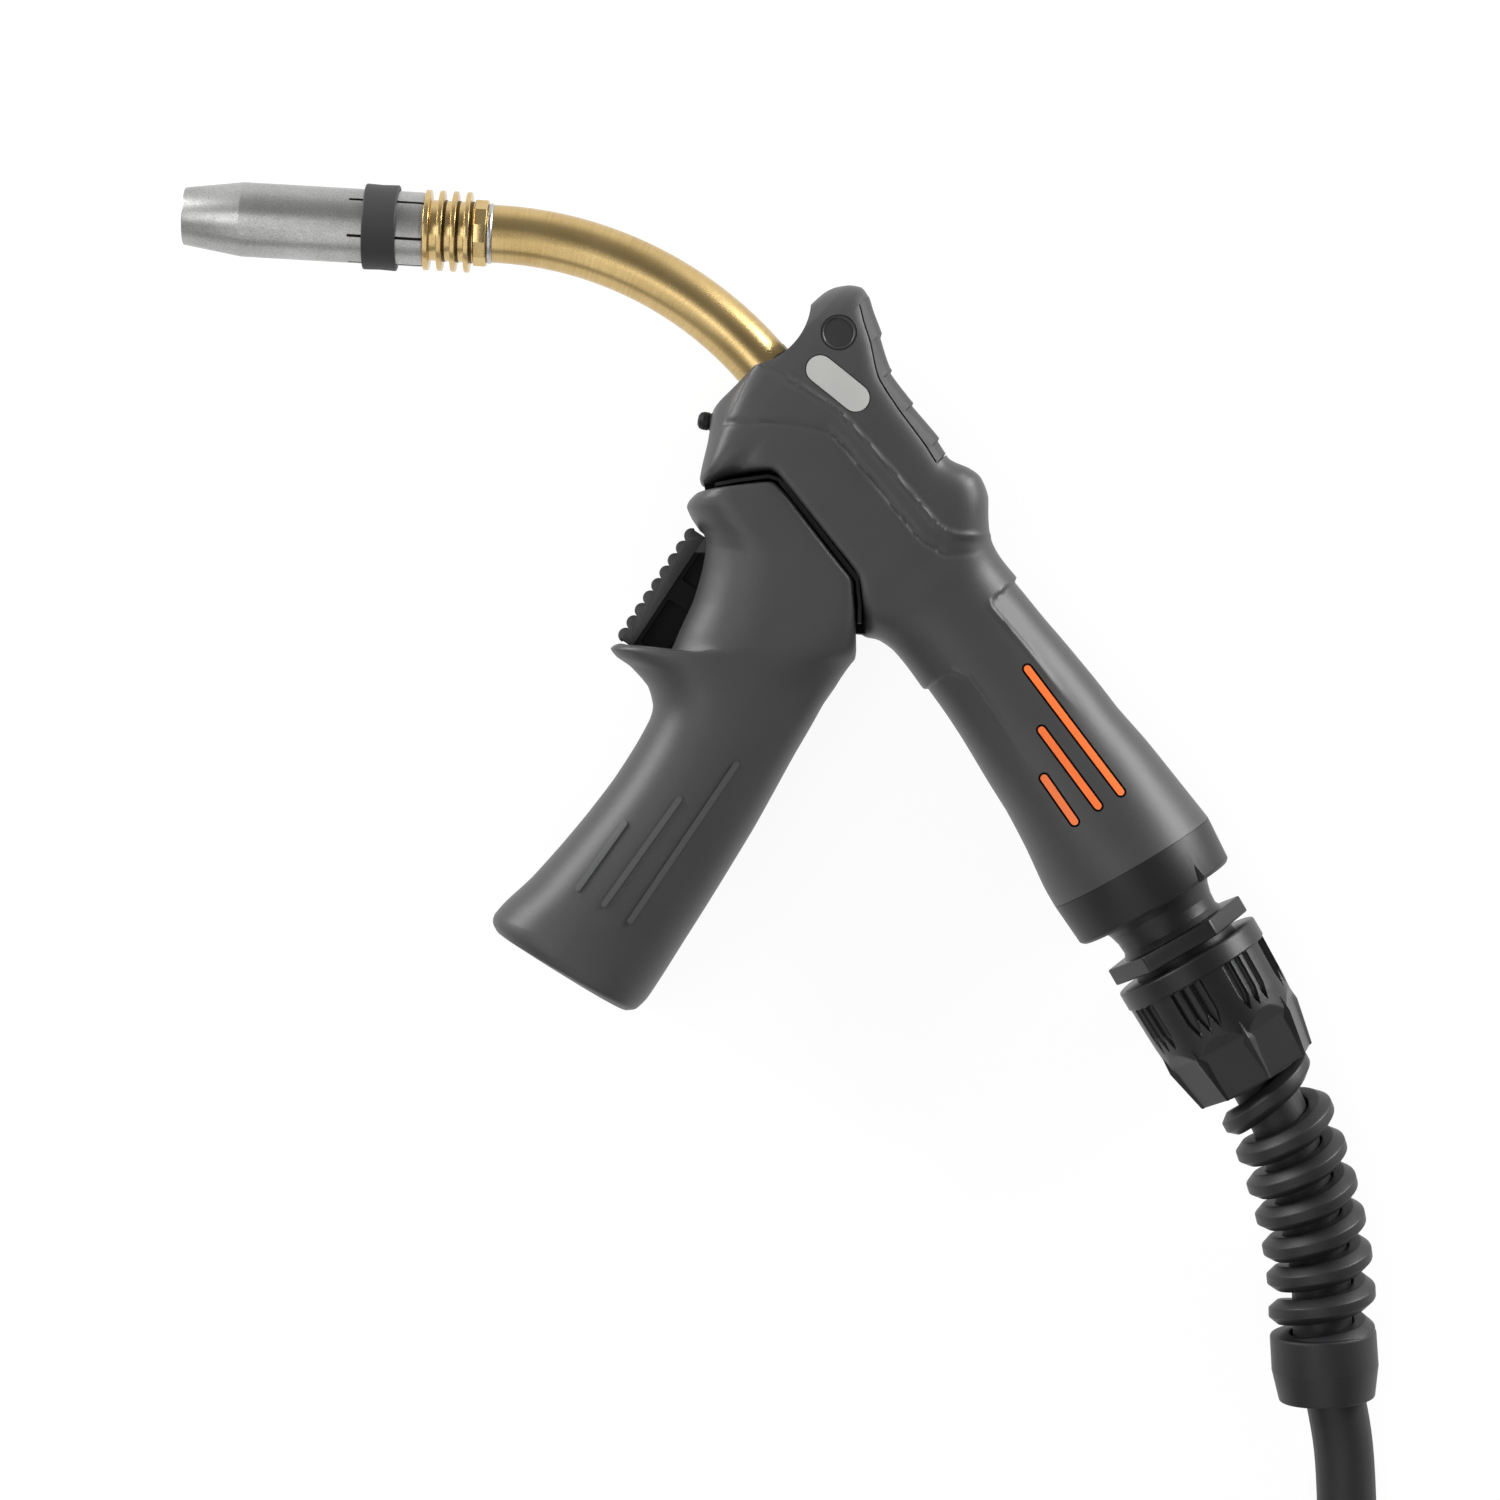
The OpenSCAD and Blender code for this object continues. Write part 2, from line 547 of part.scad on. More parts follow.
module badge_disc() {
    color([0.1, 0.1, 0.1]) in_handle() at_badge() cylinder(h = badge_thickness, r = badge_r, $fn = 64);
}
module label_plate() {
    color([0.9, 0.9, 0.9]) in_handle() at_label() translate([-label_length / 2, 0, 0])
        capsule(label_length, label_width / 2, label_thickness);
}
module stripe_inlays() {
    color([1, 0.45, 0.15]) in_handle() for (side = [-1, 1]) difference() {
        intersection() {
            for (row = stripes) stripe(row, stripe_half_width, side);
            half_solid(barrel_rungs, side, stripe_sunk);
        }
        half_solid(barrel_rungs, side, stripe_depth + stripe_sunk);
    }
}
module lock_button() {
    color([0.12, 0.12, 0.12]) in_handle() translate([button_at[0], button_at[1], 0])
        rotate([0, 0, button_way]) rotate([0, 90, 0]) {
            translate([0, 0, -7]) cylinder(h = 7 + button_height - button_r * 0.6, r = button_r, $fn = 48);
            translate([0, 0, button_height - button_r * 0.6]) intersection() {
                scale([1, 1, 1]) sphere(button_r, $fn = 48);
                translate([-5, -5, 0]) cube([10, 10, button_r * 0.6]);
            }
            translate([0, 0, -8.5]) cylinder(h = 1.5, r = button_r + 1, $fn = 48);
        }
}

// ---- Trigger and switch ----
module trigger() {
    half = trigger_width / 2;
    color([0.16, 0.16, 0.16]) in_trigger() difference() {
        union() {
            linear_extrude(trigger_width, center = true) {
                for (k = [0 : trigger_ribs - 1])
                    translate([k * trigger_rib_pitch, 0]) circle(trigger_rib_r, $fn = 32);
                translate([-trigger_rib_r + 0.4, -0.6]) square([trigger_reach + 2 * trigger_rib_r - 0.8,
                    trigger_strip + 0.6]);
                polygon([[-1.4, trigger_strip - 0.2], [3.4, trigger_strip - 0.2], [0.4, trigger_pivot[1]],
                    [trigger_pivot[0], trigger_pivot[1] - 1.5]]);
                translate(trigger_pivot) circle(trigger_boss_r, $fn = 40);
            }
            translate([trigger_web_x - 1.5, trigger_strip - 0.1, -4]) cube([3, web_end - trigger_strip, 8]);
            for (side = [0, 1]) mirror([0, 0, side]) trigger_cheek();
        }
        translate([trigger_pivot[0], trigger_pivot[1], -half - 1])
            cylinder(h = trigger_width + 2, r = trigger_pin_r + fit, $fn = 40);
        // room for the torsion spring in the middle of the pivot
        translate([trigger_pivot[0], trigger_pivot[1], -3.2])
            cylinder(h = 6.4, r = trigger_boss_r + 1.6, $fn = 40);
        translate([trigger_pivot[0], trigger_strip + 0.05, -3.2]) cube([10, 8, 6.4]);
    }
}
// Side wall behind the finger strip, with a pocket on each side of its middle rib
module trigger_cheek() {
    front = trigger_strip - 0.2;
    end = trigger_reach - 0.6;
    outer = trigger_width / 2 - cheek_inset;
    difference() {
        translate([0, 0, outer - cheek_thickness]) linear_extrude(cheek_thickness)
            polygon([[-1, front], [end, front], [end + 0.4, front + 2.2], [end - 0.6, 8.6], [end - 3.6, 11.6],
                [end - 7.6, cheek_depth], [8, cheek_depth], [1.5, 11.2], [-1, 9.6]]);
        translate([0, 0, outer - cheek_pocket]) linear_extrude(cheek_pocket + 1) {
            polygon([[2.6, front + 1.2], [11, front + 1.2], [11, cheek_depth - 1.2], [7, cheek_depth - 1.6],
                [2.6, 9.8]]);
            polygon([[17, front + 1.2], [end - 1.2, front + 1.2], [end - 1.6, 8], [end - 4.4, 10.6],
                [end - 8, cheek_depth - 1.2], [17, cheek_depth - 1.2]]);
        }
    }
}
module trigger_pin() {
    reach = trigger_pin_reach;
    color("silver") in_trigger() translate([trigger_pivot[0], trigger_pivot[1], -reach])
        cylinder(h = 2 * reach, r = trigger_pin_r, $fn = 40);
}
module trigger_spring() {
    color("silver") in_trigger() {
        translate([trigger_pivot[0], trigger_pivot[1], -2.8]) difference() {
            cylinder(h = 5.6, r = trigger_pin_r + 1.1, $fn = 40);
            translate([0, 0, -1]) cylinder(h = 8, r = trigger_pin_r + 0.3, $fn = 40);
        }
        translate([trigger_pivot[0] + 1, trigger_pivot[1] - 2.1, 2]) rotate([0, 0, -14]) rotate([0, 90, 0])
            cylinder(h = 7.5, r = 0.4, $fn = 24);
    }
}
module microswitch() {
    color([0.1, 0.1, 0.1]) in_trigger() difference() {
        translate([trigger_web_x - switch_size[0] / 2, web_end + switch_gap, -switch_size[2] / 2])
            cube(switch_size);
        translate([trigger_web_x, web_end + switch_gap - 1, 0]) rotate([-90, 0, 0])
            cylinder(h = 6, r = plunger_r + fit, $fn = 32);
    }
}
module switch_plunger() {
    color([0.8, 0.1, 0.1]) in_trigger() translate([trigger_web_x, web_end + 0.3, 0]) rotate([-90, 0, 0])
        cylinder(h = switch_gap + 2.2, r = plunger_r, $fn = 32);
}
module switch_bracket() {
    back = web_end + switch_gap + switch_size[1];
    color([0.2, 0.2, 0.22]) in_trigger() {
        translate([trigger_web_x - 11, back + 0.05, -switch_size[2] / 2 - 2.1])
            cube([22, 2, switch_size[2] + 4.2]);
        for (side = [-1, 1]) translate([trigger_web_x - 11, back - 7, side > 0 ? switch_size[2] / 2 + 0.1
            : -switch_size[2] / 2 - 2.1]) cube([22, 7.1, 2]);
        for (side = [-1, 1], x = [-8, 8])
            translate([trigger_web_x + x, back - 2.4, side > 0 ? 5 : -bracket_reach])
                cylinder(h = bracket_reach - 5, r = 2.2, $fn = 32);
    }
}

// ---- Tubes swept along points ----
function spline_at(points, t) =
    let (last = len(points) - 1, i = min(floor(t), last - 1), u = t - i)
    let (p1 = points[i], p2 = points[i + 1])
    let (p0 = i > 0 ? points[i - 1] : 2 * p1 - p2, p3 = i + 2 <= last ? points[i + 2] : 2 * p2 - p1)
    0.5 * (2 * p1 + (p2 - p0) * u + (2 * p0 - 5 * p1 + 4 * p2 - p3) * u * u
        + (3 * p1 - p0 - 3 * p2 + p3) * u * u * u);
function unit(v) = v / norm(v);
function ways(points) = [for (i = [0 : len(points) - 1])
    unit(points[min(i + 1, len(points) - 1)] - points[max(i - 1, 0)])];
// Sections stand across each way, with their first axis along the outward direction given
module sweep(points, outs, half_out, half_side, sides, first_turn = 0) {
    along = ways(points);
    rings = [for (i = [0 : len(points) - 1])
        let (b = unit(cross(along[i], outs[i])), a = cross(b, along[i]))
        each [for (k = [0 : sides - 1]) let (turn = first_turn + 360 * k / sides)
            points[i] + a * half_out * cos(turn) + b * half_side * sin(turn)]];
    count = len(points);
    skin = [for (i = [0 : count - 2], k = [0 : sides - 1])
        let (p = i * sides + k, q = i * sides + (k + 1) % sides)
        each quad(p, p + sides, q + sides, q)];
    start = [for (k = [1 : sides - 2]) [0, k, k + 1]];
    base = (count - 1) * sides;
    end = [for (k = [1 : sides - 2]) [base, base + k + 1, base + k]];
    polyhedron(points = rings, faces = concat(skin, start, end), convexity = 10);
}
module round_tube(points, r, sides) sweep(points, [for (p = points) [0, 0, 1]], r, r, sides);

wire_r = 0.9;
wire_route = [[43, -36.2], [47, -30], [50.5, -23], [51, -16], [51, -8], [58, -3.4], [80, -4.6], [110, -5.4],
    [140, -7], [152, -7]];
module switch_wires() {
    steps = 18;
    color([0.75, 0.1, 0.1]) for (side = [-1, 1]) {
        path = [for (i = [0 : steps]) let (p = spline_at(wire_route, i * (len(wire_route) - 1) / steps))
            handle_point(p[0], p[1]) + [0, 0, side * 1.3]];
        round_tube(path, wire_r, 6);
    }
}

// ---- Neck ----
front_step = 0.05;
front_overlap = 0.5;
module neck_run(outer, bore, front, tail) {
    translate([-neck_rear_straight, 0, 0]) rotate([0, 90, 0]) difference() {
        cylinder(h = neck_rear_straight + tail, r = outer, $fn = 64);
        translate([0, 0, -1]) cylinder(h = neck_rear_straight + tail + 2, r = bore, $fn = 64);
    }
    translate([-neck_rear_straight, -neck_bend_r, 0]) rotate([0, 0, 90])
        rotate_extrude(angle = neck_bend, $fn = 200) translate([neck_bend_r, 0]) difference() {
            circle(outer, $fn = 64);
            circle(bore, $fn = 64);
        }
    // the front end is turned down a little, and reaches into the bend
    length = neck_front_straight + front + front_overlap;
    translate([-neck_rear_straight, -neck_bend_r, 0]) rotate([0, 0, neck_bend])
        translate([-neck_front_straight - front, neck_bend_r, 0]) rotate([0, 90, 0]) difference() {
            cylinder(h = length, r = outer - front_step, $fn = 64);
            translate([0, 0, -1]) cylinder(h = length + 2, r = bore + front_step, $fn = 64);
        }
}
module neck_tube() {
    color([0.78, 0.62, 0.3]) in_neck() neck_run(neck_r, neck_r - neck_wall, 0, neck_seat);
}
module neck_insulator() {
    color([0.9, 0.88, 0.8]) in_neck()
        neck_run(neck_r - neck_wall - fit, conductor_r + fit, -0.2, neck_seat + 4);
}
module conductor_tube() {
    color([0.72, 0.45, 0.3]) in_neck() neck_run(conductor_r, conductor_bore_r, conductor_in, neck_seat + 16);
}
module wire_liner() {
    color([0.55, 0.55, 0.58]) in_neck() neck_run(liner_r, liner_bore_r, liner_in, neck_seat + 30);
}
clamp_at = 6;
clamp_length = 22;
clamp_side = neck_r + 3.4;
clamp_arm_length = 14;
clamp_arm_half = 6;
clamp_arm_reach = barrel_inner_half - 1.6;
clamp_screw_r = 2;
clamp_screw_places = [clamp_at + 5, clamp_at + 17];
module neck_clamp() {
    color([0.75, 0.7, 0.5]) in_neck() difference() {
        union() {
            translate([clamp_at, -clamp_side, -clamp_side]) cube([clamp_length, 2 * clamp_side, 2 * clamp_side]);
            translate([clamp_at + 4, -clamp_arm_half, -clamp_arm_reach])
                cube([clamp_arm_length, 2 * clamp_arm_half, 2 * clamp_arm_reach]);
        }
        rotate([0, 90, 0]) cylinder(h = 40, r = neck_r + fit, $fn = 64);
        for (x = clamp_screw_places) translate([x, 0, 0]) rotate([-90, 0, 0])
            cylinder(h = 20, r = clamp_screw_r, $fn = 32);
    }
}
module clamp_screws() {
    color("dimgray") in_neck() for (x = clamp_screw_places) translate([x, neck_r + fit, 0]) rotate([-90, 0, 0])
        cylinder(h = 4, r = clamp_screw_r - fit, $fn = 32);
}
coupler_at = neck_seat + 12;
coupler_length = 22;
module cable_coupler() {
    color([0.78, 0.62, 0.3]) in_neck() translate([coupler_at, 0, 0]) rotate([0, 90, 0]) difference() {
        cylinder(h = coupler_length, r = 8, $fn = 6);
        translate([0, 0, -1]) cylinder(h = 6, r = conductor_r + fit, $fn = 48);
        translate([0, 0, -1]) cylinder(h = coupler_length + 2, r = liner_r + 0.2, $fn = 48);
    }
}
inner_cable_r = 6;
inner_cable_route = [[64.6, 6.5], [80, 5], [100, 3.4], [120, 1.8], [138, 0.4], [153.6, -0.3]];
module inner_cable() {
    steps = 12;
    color([0.08, 0.08, 0.08]) round_tube([for (i = [0 : steps])
        let (p = spline_at(inner_cable_route, i * (len(inner_cable_route) - 1) / steps))
        handle_point(p[0], p[1])], inner_cable_r, 10);
}

// ---- Front end, measured forwards from the neck tube's front face ----
washer_thickness = 1.6;
nut_thickness = 3.4;
fins_at = washer_thickness + nut_thickness;
fin_margin = 0.85;
fins_length = 2 * fin_margin + (fin_count - 1) * fin_pitch + 0.1 + fin_thickness / 2 - 0.75;
nozzle_at = fins_at + 2 * fin_margin + (fin_count - 1) * fin_pitch + fin_thickness / 2;
spigot_front = nozzle_at + 10;
insulator_front = nozzle_at + 18.7;
holder_front = nozzle_at + nozzle_length - tip_setback - tip_length;
conductor_in = fins_at + 6;
liner_in = holder_front - 9;
insulator_bore_r = 6.4;
holder_r = 4.9;
module neck_washer() {
    color("silver") in_front() difference() {
        cylinder(h = washer_thickness, r = neck_r - 0.15, $fn = 64);
        translate([0, 0, -1]) cylinder(h = 5, r = conductor_r + fit, $fn = 64);
    }
}
module neck_nut() {
    color([0.85, 0.72, 0.4]) in_front() translate([0, 0, washer_thickness]) difference() {
        intersection() {
            cylinder(h = nut_thickness, r = neck_r + 1.9, $fn = 6);
            cylinder(h = nut_thickness, r = neck_r + 1.3, $fn = 64);
        }
        translate([0, 0, -1]) cylinder(h = 9, r = conductor_r + fit, $fn = 64);
    }
}
module cooling_body() {
    color([0.78, 0.62, 0.3]) in_front() difference() {
        union() {
            translate([0, 0, fins_at]) cylinder(h = nozzle_at - fins_at, r = fin_root_r, $fn = 64);
            for (k = [0 : fin_count - 1])
                translate([0, 0, nozzle_at - fin_thickness - k * fin_pitch])
                    cylinder(h = fin_thickness, r = fin_r, $fn = 64);
            translate([0, 0, nozzle_at - 1]) cylinder(h = spigot_front - nozzle_at + 1,
                r = insulator_bore_r, $fn = 64);
        }
        translate([0, 0, fins_at - 1]) cylinder(h = conductor_in - fins_at + 1, r = conductor_r + fit, $fn = 64);
        translate([0, 0, fins_at - 1]) cylinder(h = 60, r = liner_r + 0.15, $fn = 48);
        translate([0, 0, conductor_in + 2]) cylinder(h = 60, r = holder_r + fit, $fn = 64);
    }
}
module nozzle_insulator() {
    color([0.1, 0.1, 0.1]) in_front() translate([0, 0, nozzle_at + fit]) difference() {
        cylinder(h = insulator_front - nozzle_at, r = nozzle_bore_r - fit, $fn = 64);
        translate([0, 0, -1]) cylinder(h = 40, r = insulator_bore_r + fit, $fn = 64);
    }
}
module tip_holder() {
    color([0.78, 0.6, 0.3]) in_front() difference() {
        union() {
            translate([0, 0, conductor_in + 2.1]) cylinder(h = holder_front - conductor_in - 2.1,
                r = holder_r, $fn = 64);
            translate([0, 0, spigot_front + fit]) cylinder(h = 5, r = 6.3, $fn = 6);
        }
        translate([0, 0, conductor_in]) cylinder(h = 60, r = liner_r + 0.1, $fn = 48);
        translate([0, 0, holder_front - 8]) cylinder(h = 20, r = tip_shank_r + fit, $fn = 48);
    }
}
tip_shank_r = 3;
module gas_diffuser() {
    front = holder_front - 0.5;
    back = insulator_front + 0.1;
    color([0.92, 0.9, 0.84]) in_front() difference() {
        translate([0, 0, back]) cylinder(h = front - back, r = nozzle_bore_r - 0.75, $fn = 64);
        translate([0, 0, back - 1]) cylinder(h = 40, r = holder_r + fit, $fn = 64);
        for (k = [0 : 7]) translate([0, 0, (front + back) / 2]) rotate([0, 0, 45 * k]) rotate([0, 90, 0])
            translate([0, 0, holder_r - 0.5]) cylinder(h = 6, r = 0.8, $fn = 24);
    }
}
module contact_tip() {
    taper = 5.7;
    color([0.72, 0.42, 0.28]) in_front() translate([0, 0, holder_front]) difference() {
        union() {
            translate([0, 0, -7.6]) cylinder(h = 7.7, r = tip_shank_r, $fn = 48);
            cylinder(h = tip_length - taper, r = tip_r, $fn = 48);
            translate([0, 0, tip_length - taper]) cylinder(h = taper, r1 = tip_r, r2 = tip_r - 1.7, $fn = 48);
        }
        translate([0, 0, -10]) cylinder(h = 60, r = tip_bore_r, $fn = 32);
    }
}
module gas_nozzle() {
    shoulder = nozzle_length - nozzle_taper;
    lip = 4.7;
    seat_from = band_at - 2 * fit;
    seat_to = band_at + band_width;
    color([0.72, 0.72, 0.72]) in_front() translate([0, 0, nozzle_at + fit]) difference() {
        rotate_extrude($fn = 96) polygon([[nozzle_bore_r, 0], [nozzle_r - 0.1, 0], [nozzle_r, 1],
            [nozzle_r, seat_from], [nozzle_r - band_seat, seat_from],
            [nozzle_r - band_seat, seat_to], [nozzle_r, seat_to],
            [nozzle_r, shoulder], [nozzle_mouth_r, nozzle_length - fit], [mouth_bore_r, nozzle_length - fit],
            [mouth_bore_r, nozzle_length - lip], [nozzle_bore_r, shoulder]]);
        for (k = [0 : slot_count - 1]) rotate([0, 0, 360 * k / slot_count + 38])
            translate([0, -slot_width / 2, -1]) cube([20, slot_width, slot_length + 1]);
    }
}
band_at = 7.1;
band_seat = 0.3;
module nozzle_band() {
    color([0.08, 0.08, 0.08]) in_front() translate([0, 0, nozzle_at + band_at]) difference() {
        cylinder(h = band_width, r = band_r, $fn = 96);
        translate([0, 0, -1]) cylinder(h = band_width + 2, r = nozzle_r - band_seat + 0.02, $fn = 96);
    }
}

// ---- Ball joint and gland, measured rearwards from the end ring's front face ----
ball_at = 4;
socket_wall = 1.4;
socket_rear = ring_length - 1.25;
socket_r = ball_r + socket_wall;
ball_front = 9.5;
ring_spigot = 3.5;
stem_end = ring_length + stem_length;
hex_end = stem_end + hex_thickness;
nut_at = hex_end + 1.9;
nut_end = nut_at + nut_length;
spigot_depth = 12;
entry_end = hex_end + spigot_depth + 2;
thread_r = 14.4;
gland_taper = 2;
module end_ring() {
    color([0.1, 0.1, 0.1]) in_ring() difference() {
        union() {
            cylinder(h = ring_length, r1 = end_ring_r, r2 = end_ring_r - 0.9, $fn = 96);
            translate([0, 0, -ring_spigot]) cylinder(h = ring_spigot + 1, r = socket_r + 1.05, $fn = 96);
        }
        translate([0, 0, -10]) cylinder(h = 10 + socket_rear, r = socket_r + fit, $fn = 96);
        translate([0, 0, 1]) cylinder(h = 20, r = ball_r - 0.5, $fn = 96);
    }
}
module ring_retainer() {
    color([0.25, 0.25, 0.27]) in_ring() translate([0, 0, -ring_spigot]) difference() {
        cylinder(h = ring_spigot + 0.2, r = socket_r, $fn = 96);
        translate([0, 0, -1]) cylinder(h = 20, r = ball_r + 0.2, $fn = 96);
    }
}
module socket_ring() {
    color([0.3, 0.3, 0.32]) in_ring() difference() {
        translate([0, 0, 0.25]) cylinder(h = socket_rear - 0.3, r = socket_r, $fn = 96);
        translate([0, 0, ball_at]) sphere(ball_r + fit, $fn = 96);
    }
}
module ball_stem() {
    neck_start = ball_at + 8;
    color([0.1, 0.1, 0.1]) in_ring() difference() {
        union() {
            intersection() {
                translate([0, 0, ball_at]) sphere(ball_r, $fn = 96);
                translate([0, 0, ball_at - ball_front]) cylinder(h = ball_front + ball_r * 0.79,
                    r = ball_r + 1, $fn = 96);
            }
            translate([0, 0, neck_start]) cylinder(h = 1.5, r1 = stem_r - 2, r2 = stem_r, $fn = 96);
            translate([0, 0, neck_start + 1.5]) cylinder(h = stem_end - neck_start - 1.4, r = stem_r, $fn = 96);
            translate([0, 0, stem_end]) cylinder(h = hex_thickness, r = hex_flats / sqrt(3), $fn = 6);
            translate([0, 0, hex_end - 0.1]) cylinder(h = spigot_depth + 0.1, r = thread_r, $fn = 96);
        }
        translate([0, 0, ball_at - 20]) cylinder(h = 80, r = cable_r + 0.15, $fn = 64);
    }
}
module cable_entry() {
    color([0.08, 0.08, 0.08]) in_ring() translate([0, 0, ball_at - ball_front])
        cylinder(h = entry_end - ball_at + ball_front, r = cable_r, $fn = 64);
}
module gland_insert() {
    depth = spiral_collar_at - hex_end - spigot_depth - gland_taper - 0.4;
    color([0.18, 0.18, 0.18]) in_ring() translate([0, 0, hex_end + spigot_depth + 0.2]) difference() {
        cylinder(h = depth, r1 = thread_r - 0.2, r2 = thread_r - 1.2, $fn = 64);
        translate([0, 0, -1]) cylinder(h = depth + 2, r = cable_r + fit, $fn = 64);
    }
}
spiral_collar_length = 9;
spiral_collar_at = nut_end - spiral_collar_length;
collar_r = 12.4;
module clamp_nut() {
    band = 5.2;
    waist = 17;
    step_r = nut_r - 2.4;
    color([0.12, 0.12, 0.12]) in_ring() translate([0, 0, nut_at]) difference() {
        rotate_extrude($fn = 96) polygon([[thread_r + fit, 0], [nut_r - 0.6, 0], [nut_r, 0.6],
            [nut_r, band], [nut_r - 0.9, waist], [step_r, waist + 2.4], [nut_end_r, nut_length],
            [collar_r + 0.1, nut_length], [collar_r + 0.1, nut_length - spiral_collar_length],
            [thread_r + fit, nut_length - spiral_collar_length - gland_taper]]);
        for (k = [0 : nut_pockets - 1], turn = [-9, 0, 9]) rotate([0, 0, 360 * k / nut_pockets + turn])
            translate([nut_r - 1, 0, band + 1.6]) linear_extrude(waist - band - 2.4)
                translate([0, -1]) square([3, 2]);
        for (k = [0 : nut_pockets - 1]) rotate([0, 0, 360 * (k + 0.5) / nut_pockets])
            translate([nut_r + 0.2, 0, waist - 1]) rotate([0, -5, 0])
                cylinder(h = nut_length, r = 3.6, $fn = 32);
    }
}

// Centre line of the spiral, from the clamp nut's rear face to the cuff
spiral_route = [ring_point(nut_end), [136, -79, 22.3], [140, -88, 20.9], [143.5, -97, 19.3],
    [146.4, -106, 17.7], [148.8, -115, 16.3], [150.4, -124.5, 15.3], [151.4, -135, 14.6]];
cuff_way = [2.3, -17.6, -1.4];
function spiral_centre(u) = spline_at(spiral_route, u * (len(spiral_route) - 1));
function spiral_way(u) = unit(spiral_centre(min(1, u + 0.01)) - spiral_centre(max(0, u - 0.01)));
function spiral_out(u, turn) =
    let (way = spiral_way(u), across = unit(cross([0, 0, 1], way)), up = cross(way, across))
    across * cos(turn) + up * sin(turn);
spiral_mid_r = spiral_r - spiral_band / 2;
spiral_run = norm(spiral_route[7] - spiral_route[0]);
spiral_straight = spiral_band_width / spiral_run;
curl_rings = 8;
spiral_u = [0, for (i = [0 : spiral_turns * curl_rings])
    spiral_straight + (1 - 2 * spiral_straight) * i / (spiral_turns * curl_rings), 1];
spiral_turn = [0, for (i = [0 : spiral_turns * curl_rings]) 360 * i / curl_rings, 360 * spiral_turns];
spiral_outs = [for (i = [0 : len(spiral_u) - 1]) spiral_out(spiral_u[i], spiral_turn[i])];
spiral_points = [for (i = [0 : len(spiral_u) - 1])
    spiral_centre(spiral_u[i]) + spiral_mid_r * spiral_outs[i]];
spiral_gap = min([for (i = [1 : len(spiral_points) - 1 - curl_rings - 1])
    norm(spiral_points[i] - spiral_points[i + curl_rings])]) - spiral_band_width;
module strain_spiral() {
    echo(least_gap_of_spiral = spiral_gap);
    color([0.12, 0.12, 0.12]) {
        in_ring() translate([0, 0, spiral_collar_at + 0.1]) difference() {
            cylinder(h = spiral_collar_length + 0.7, r = collar_r, $fn = 64);
            translate([0, 0, -1]) cylinder(h = 20, r = cable_r + 0.2, $fn = 64);
        }
        difference() {
            sweep(spiral_points, spiral_outs, spiral_band / 2, spiral_band_width / 2, 6);
            along_cuff() translate([0, 0, -0.05]) cylinder(h = 10, r = 2 * spiral_r, $fn = 64);
        }
    }
}
module along_cuff() {
    start = spiral_route[7];
    flat = norm([cuff_way[0], cuff_way[1]]);
    translate(start) rotate([0, 90 - atan2(cuff_way[2], flat), atan2(cuff_way[1], cuff_way[0])]) children();
}
module strain_cuff() {
    wall = 1.4;
    color([0.12, 0.12, 0.12]) along_cuff() difference() {
        cylinder(h = cuff_length, r1 = cuff_r, r2 = cuff_mouth_r, $fn = 64);
        translate([0, 0, -1]) cylinder(h = 4, r = cable_r + 0.4, $fn = 64);
        translate([0, 0, 2.4]) cylinder(h = cuff_length - 2.3, r1 = cable_r + 0.4, r2 = cuff_mouth_r - wall + 0.2,
            $fn = 64);
    }
}

// ---- Free cable ----
lead_route = concat([ring_point(entry_end), ring_point((entry_end + nut_end) / 2)],
    [for (i = [0 : 7]) spiral_route[i]],
    [[153.6, -144, 13.3], [156.2, -153, 11.8], [159.2, -165, 9.6], [161, -178, 8.2], [162, -192, 8],
     [162.3, -220, 8], [162.3, -260, 8], [162, -300, 8], [162, -319.8, 8]]);
coil_at = [162 - coil_r, -320];
coil_turns = 4.25;
coil_middle = coil_turns * 180;
coil_layer = 2 * cable_r + 0.6;
coil_rings = 24;
function coil_radius(a) = coil_r - coil_pitch * (coil_middle - abs(a - coil_middle)) / 360;
function smooth(u) = let (v = max(0, min(1, u))) v * v * (3 - 2 * v);
function coil_height(a) = cable_r + coil_layer * smooth((a - coil_middle + 90) / 180);
function coil_point(a) = [coil_at[0] + coil_radius(a) * cos(a), coil_at[1] - coil_radius(a) * sin(a),
    coil_height(a)];
coil_count = ceil(coil_turns * coil_rings);
coil_angles = concat([0, 1], [for (i = [1 : coil_count - 1]) coil_turns * 360 * i / coil_count],
    [coil_turns * 360 - 1, coil_turns * 360]);
coil_points = [for (a = coil_angles) coil_point(a)];
cord_joint = 0.2;
coil_gap = min([for (i = [0 : coil_count - coil_rings + 2], j = [i + coil_rings - 1 : coil_count + 2])
    norm(coil_points[i] - coil_points[j])]) - 2 * cable_r;
coil_exit = coil_point(coil_turns * 360);
tail_length = 62;
module cable_lead() {
    steps = 40;
    color([0.07, 0.07, 0.07]) round_tube([for (i = [0 : steps])
        spline_at(lead_route, i * (len(lead_route) - 1) / steps)], cable_r, 12);
}
module cable_coil() {
    echo(least_gap_of_coil = coil_gap);
    color([0.07, 0.07, 0.07]) sweep(coil_points, [for (p = coil_points) [0, 0, 1]], cable_r, cable_r, 6);
}
module in_plug() translate(coil_exit) rotate([0, -90, 0]) children();
module cable_tail() {
    color([0.07, 0.07, 0.07]) round_tube([coil_exit - [cord_joint, 0, 0], coil_exit - [20, 0, 0], coil_exit - [40, 0, 0],
        coil_exit - [tail_length, 0, 0]], cable_r, 12);
}

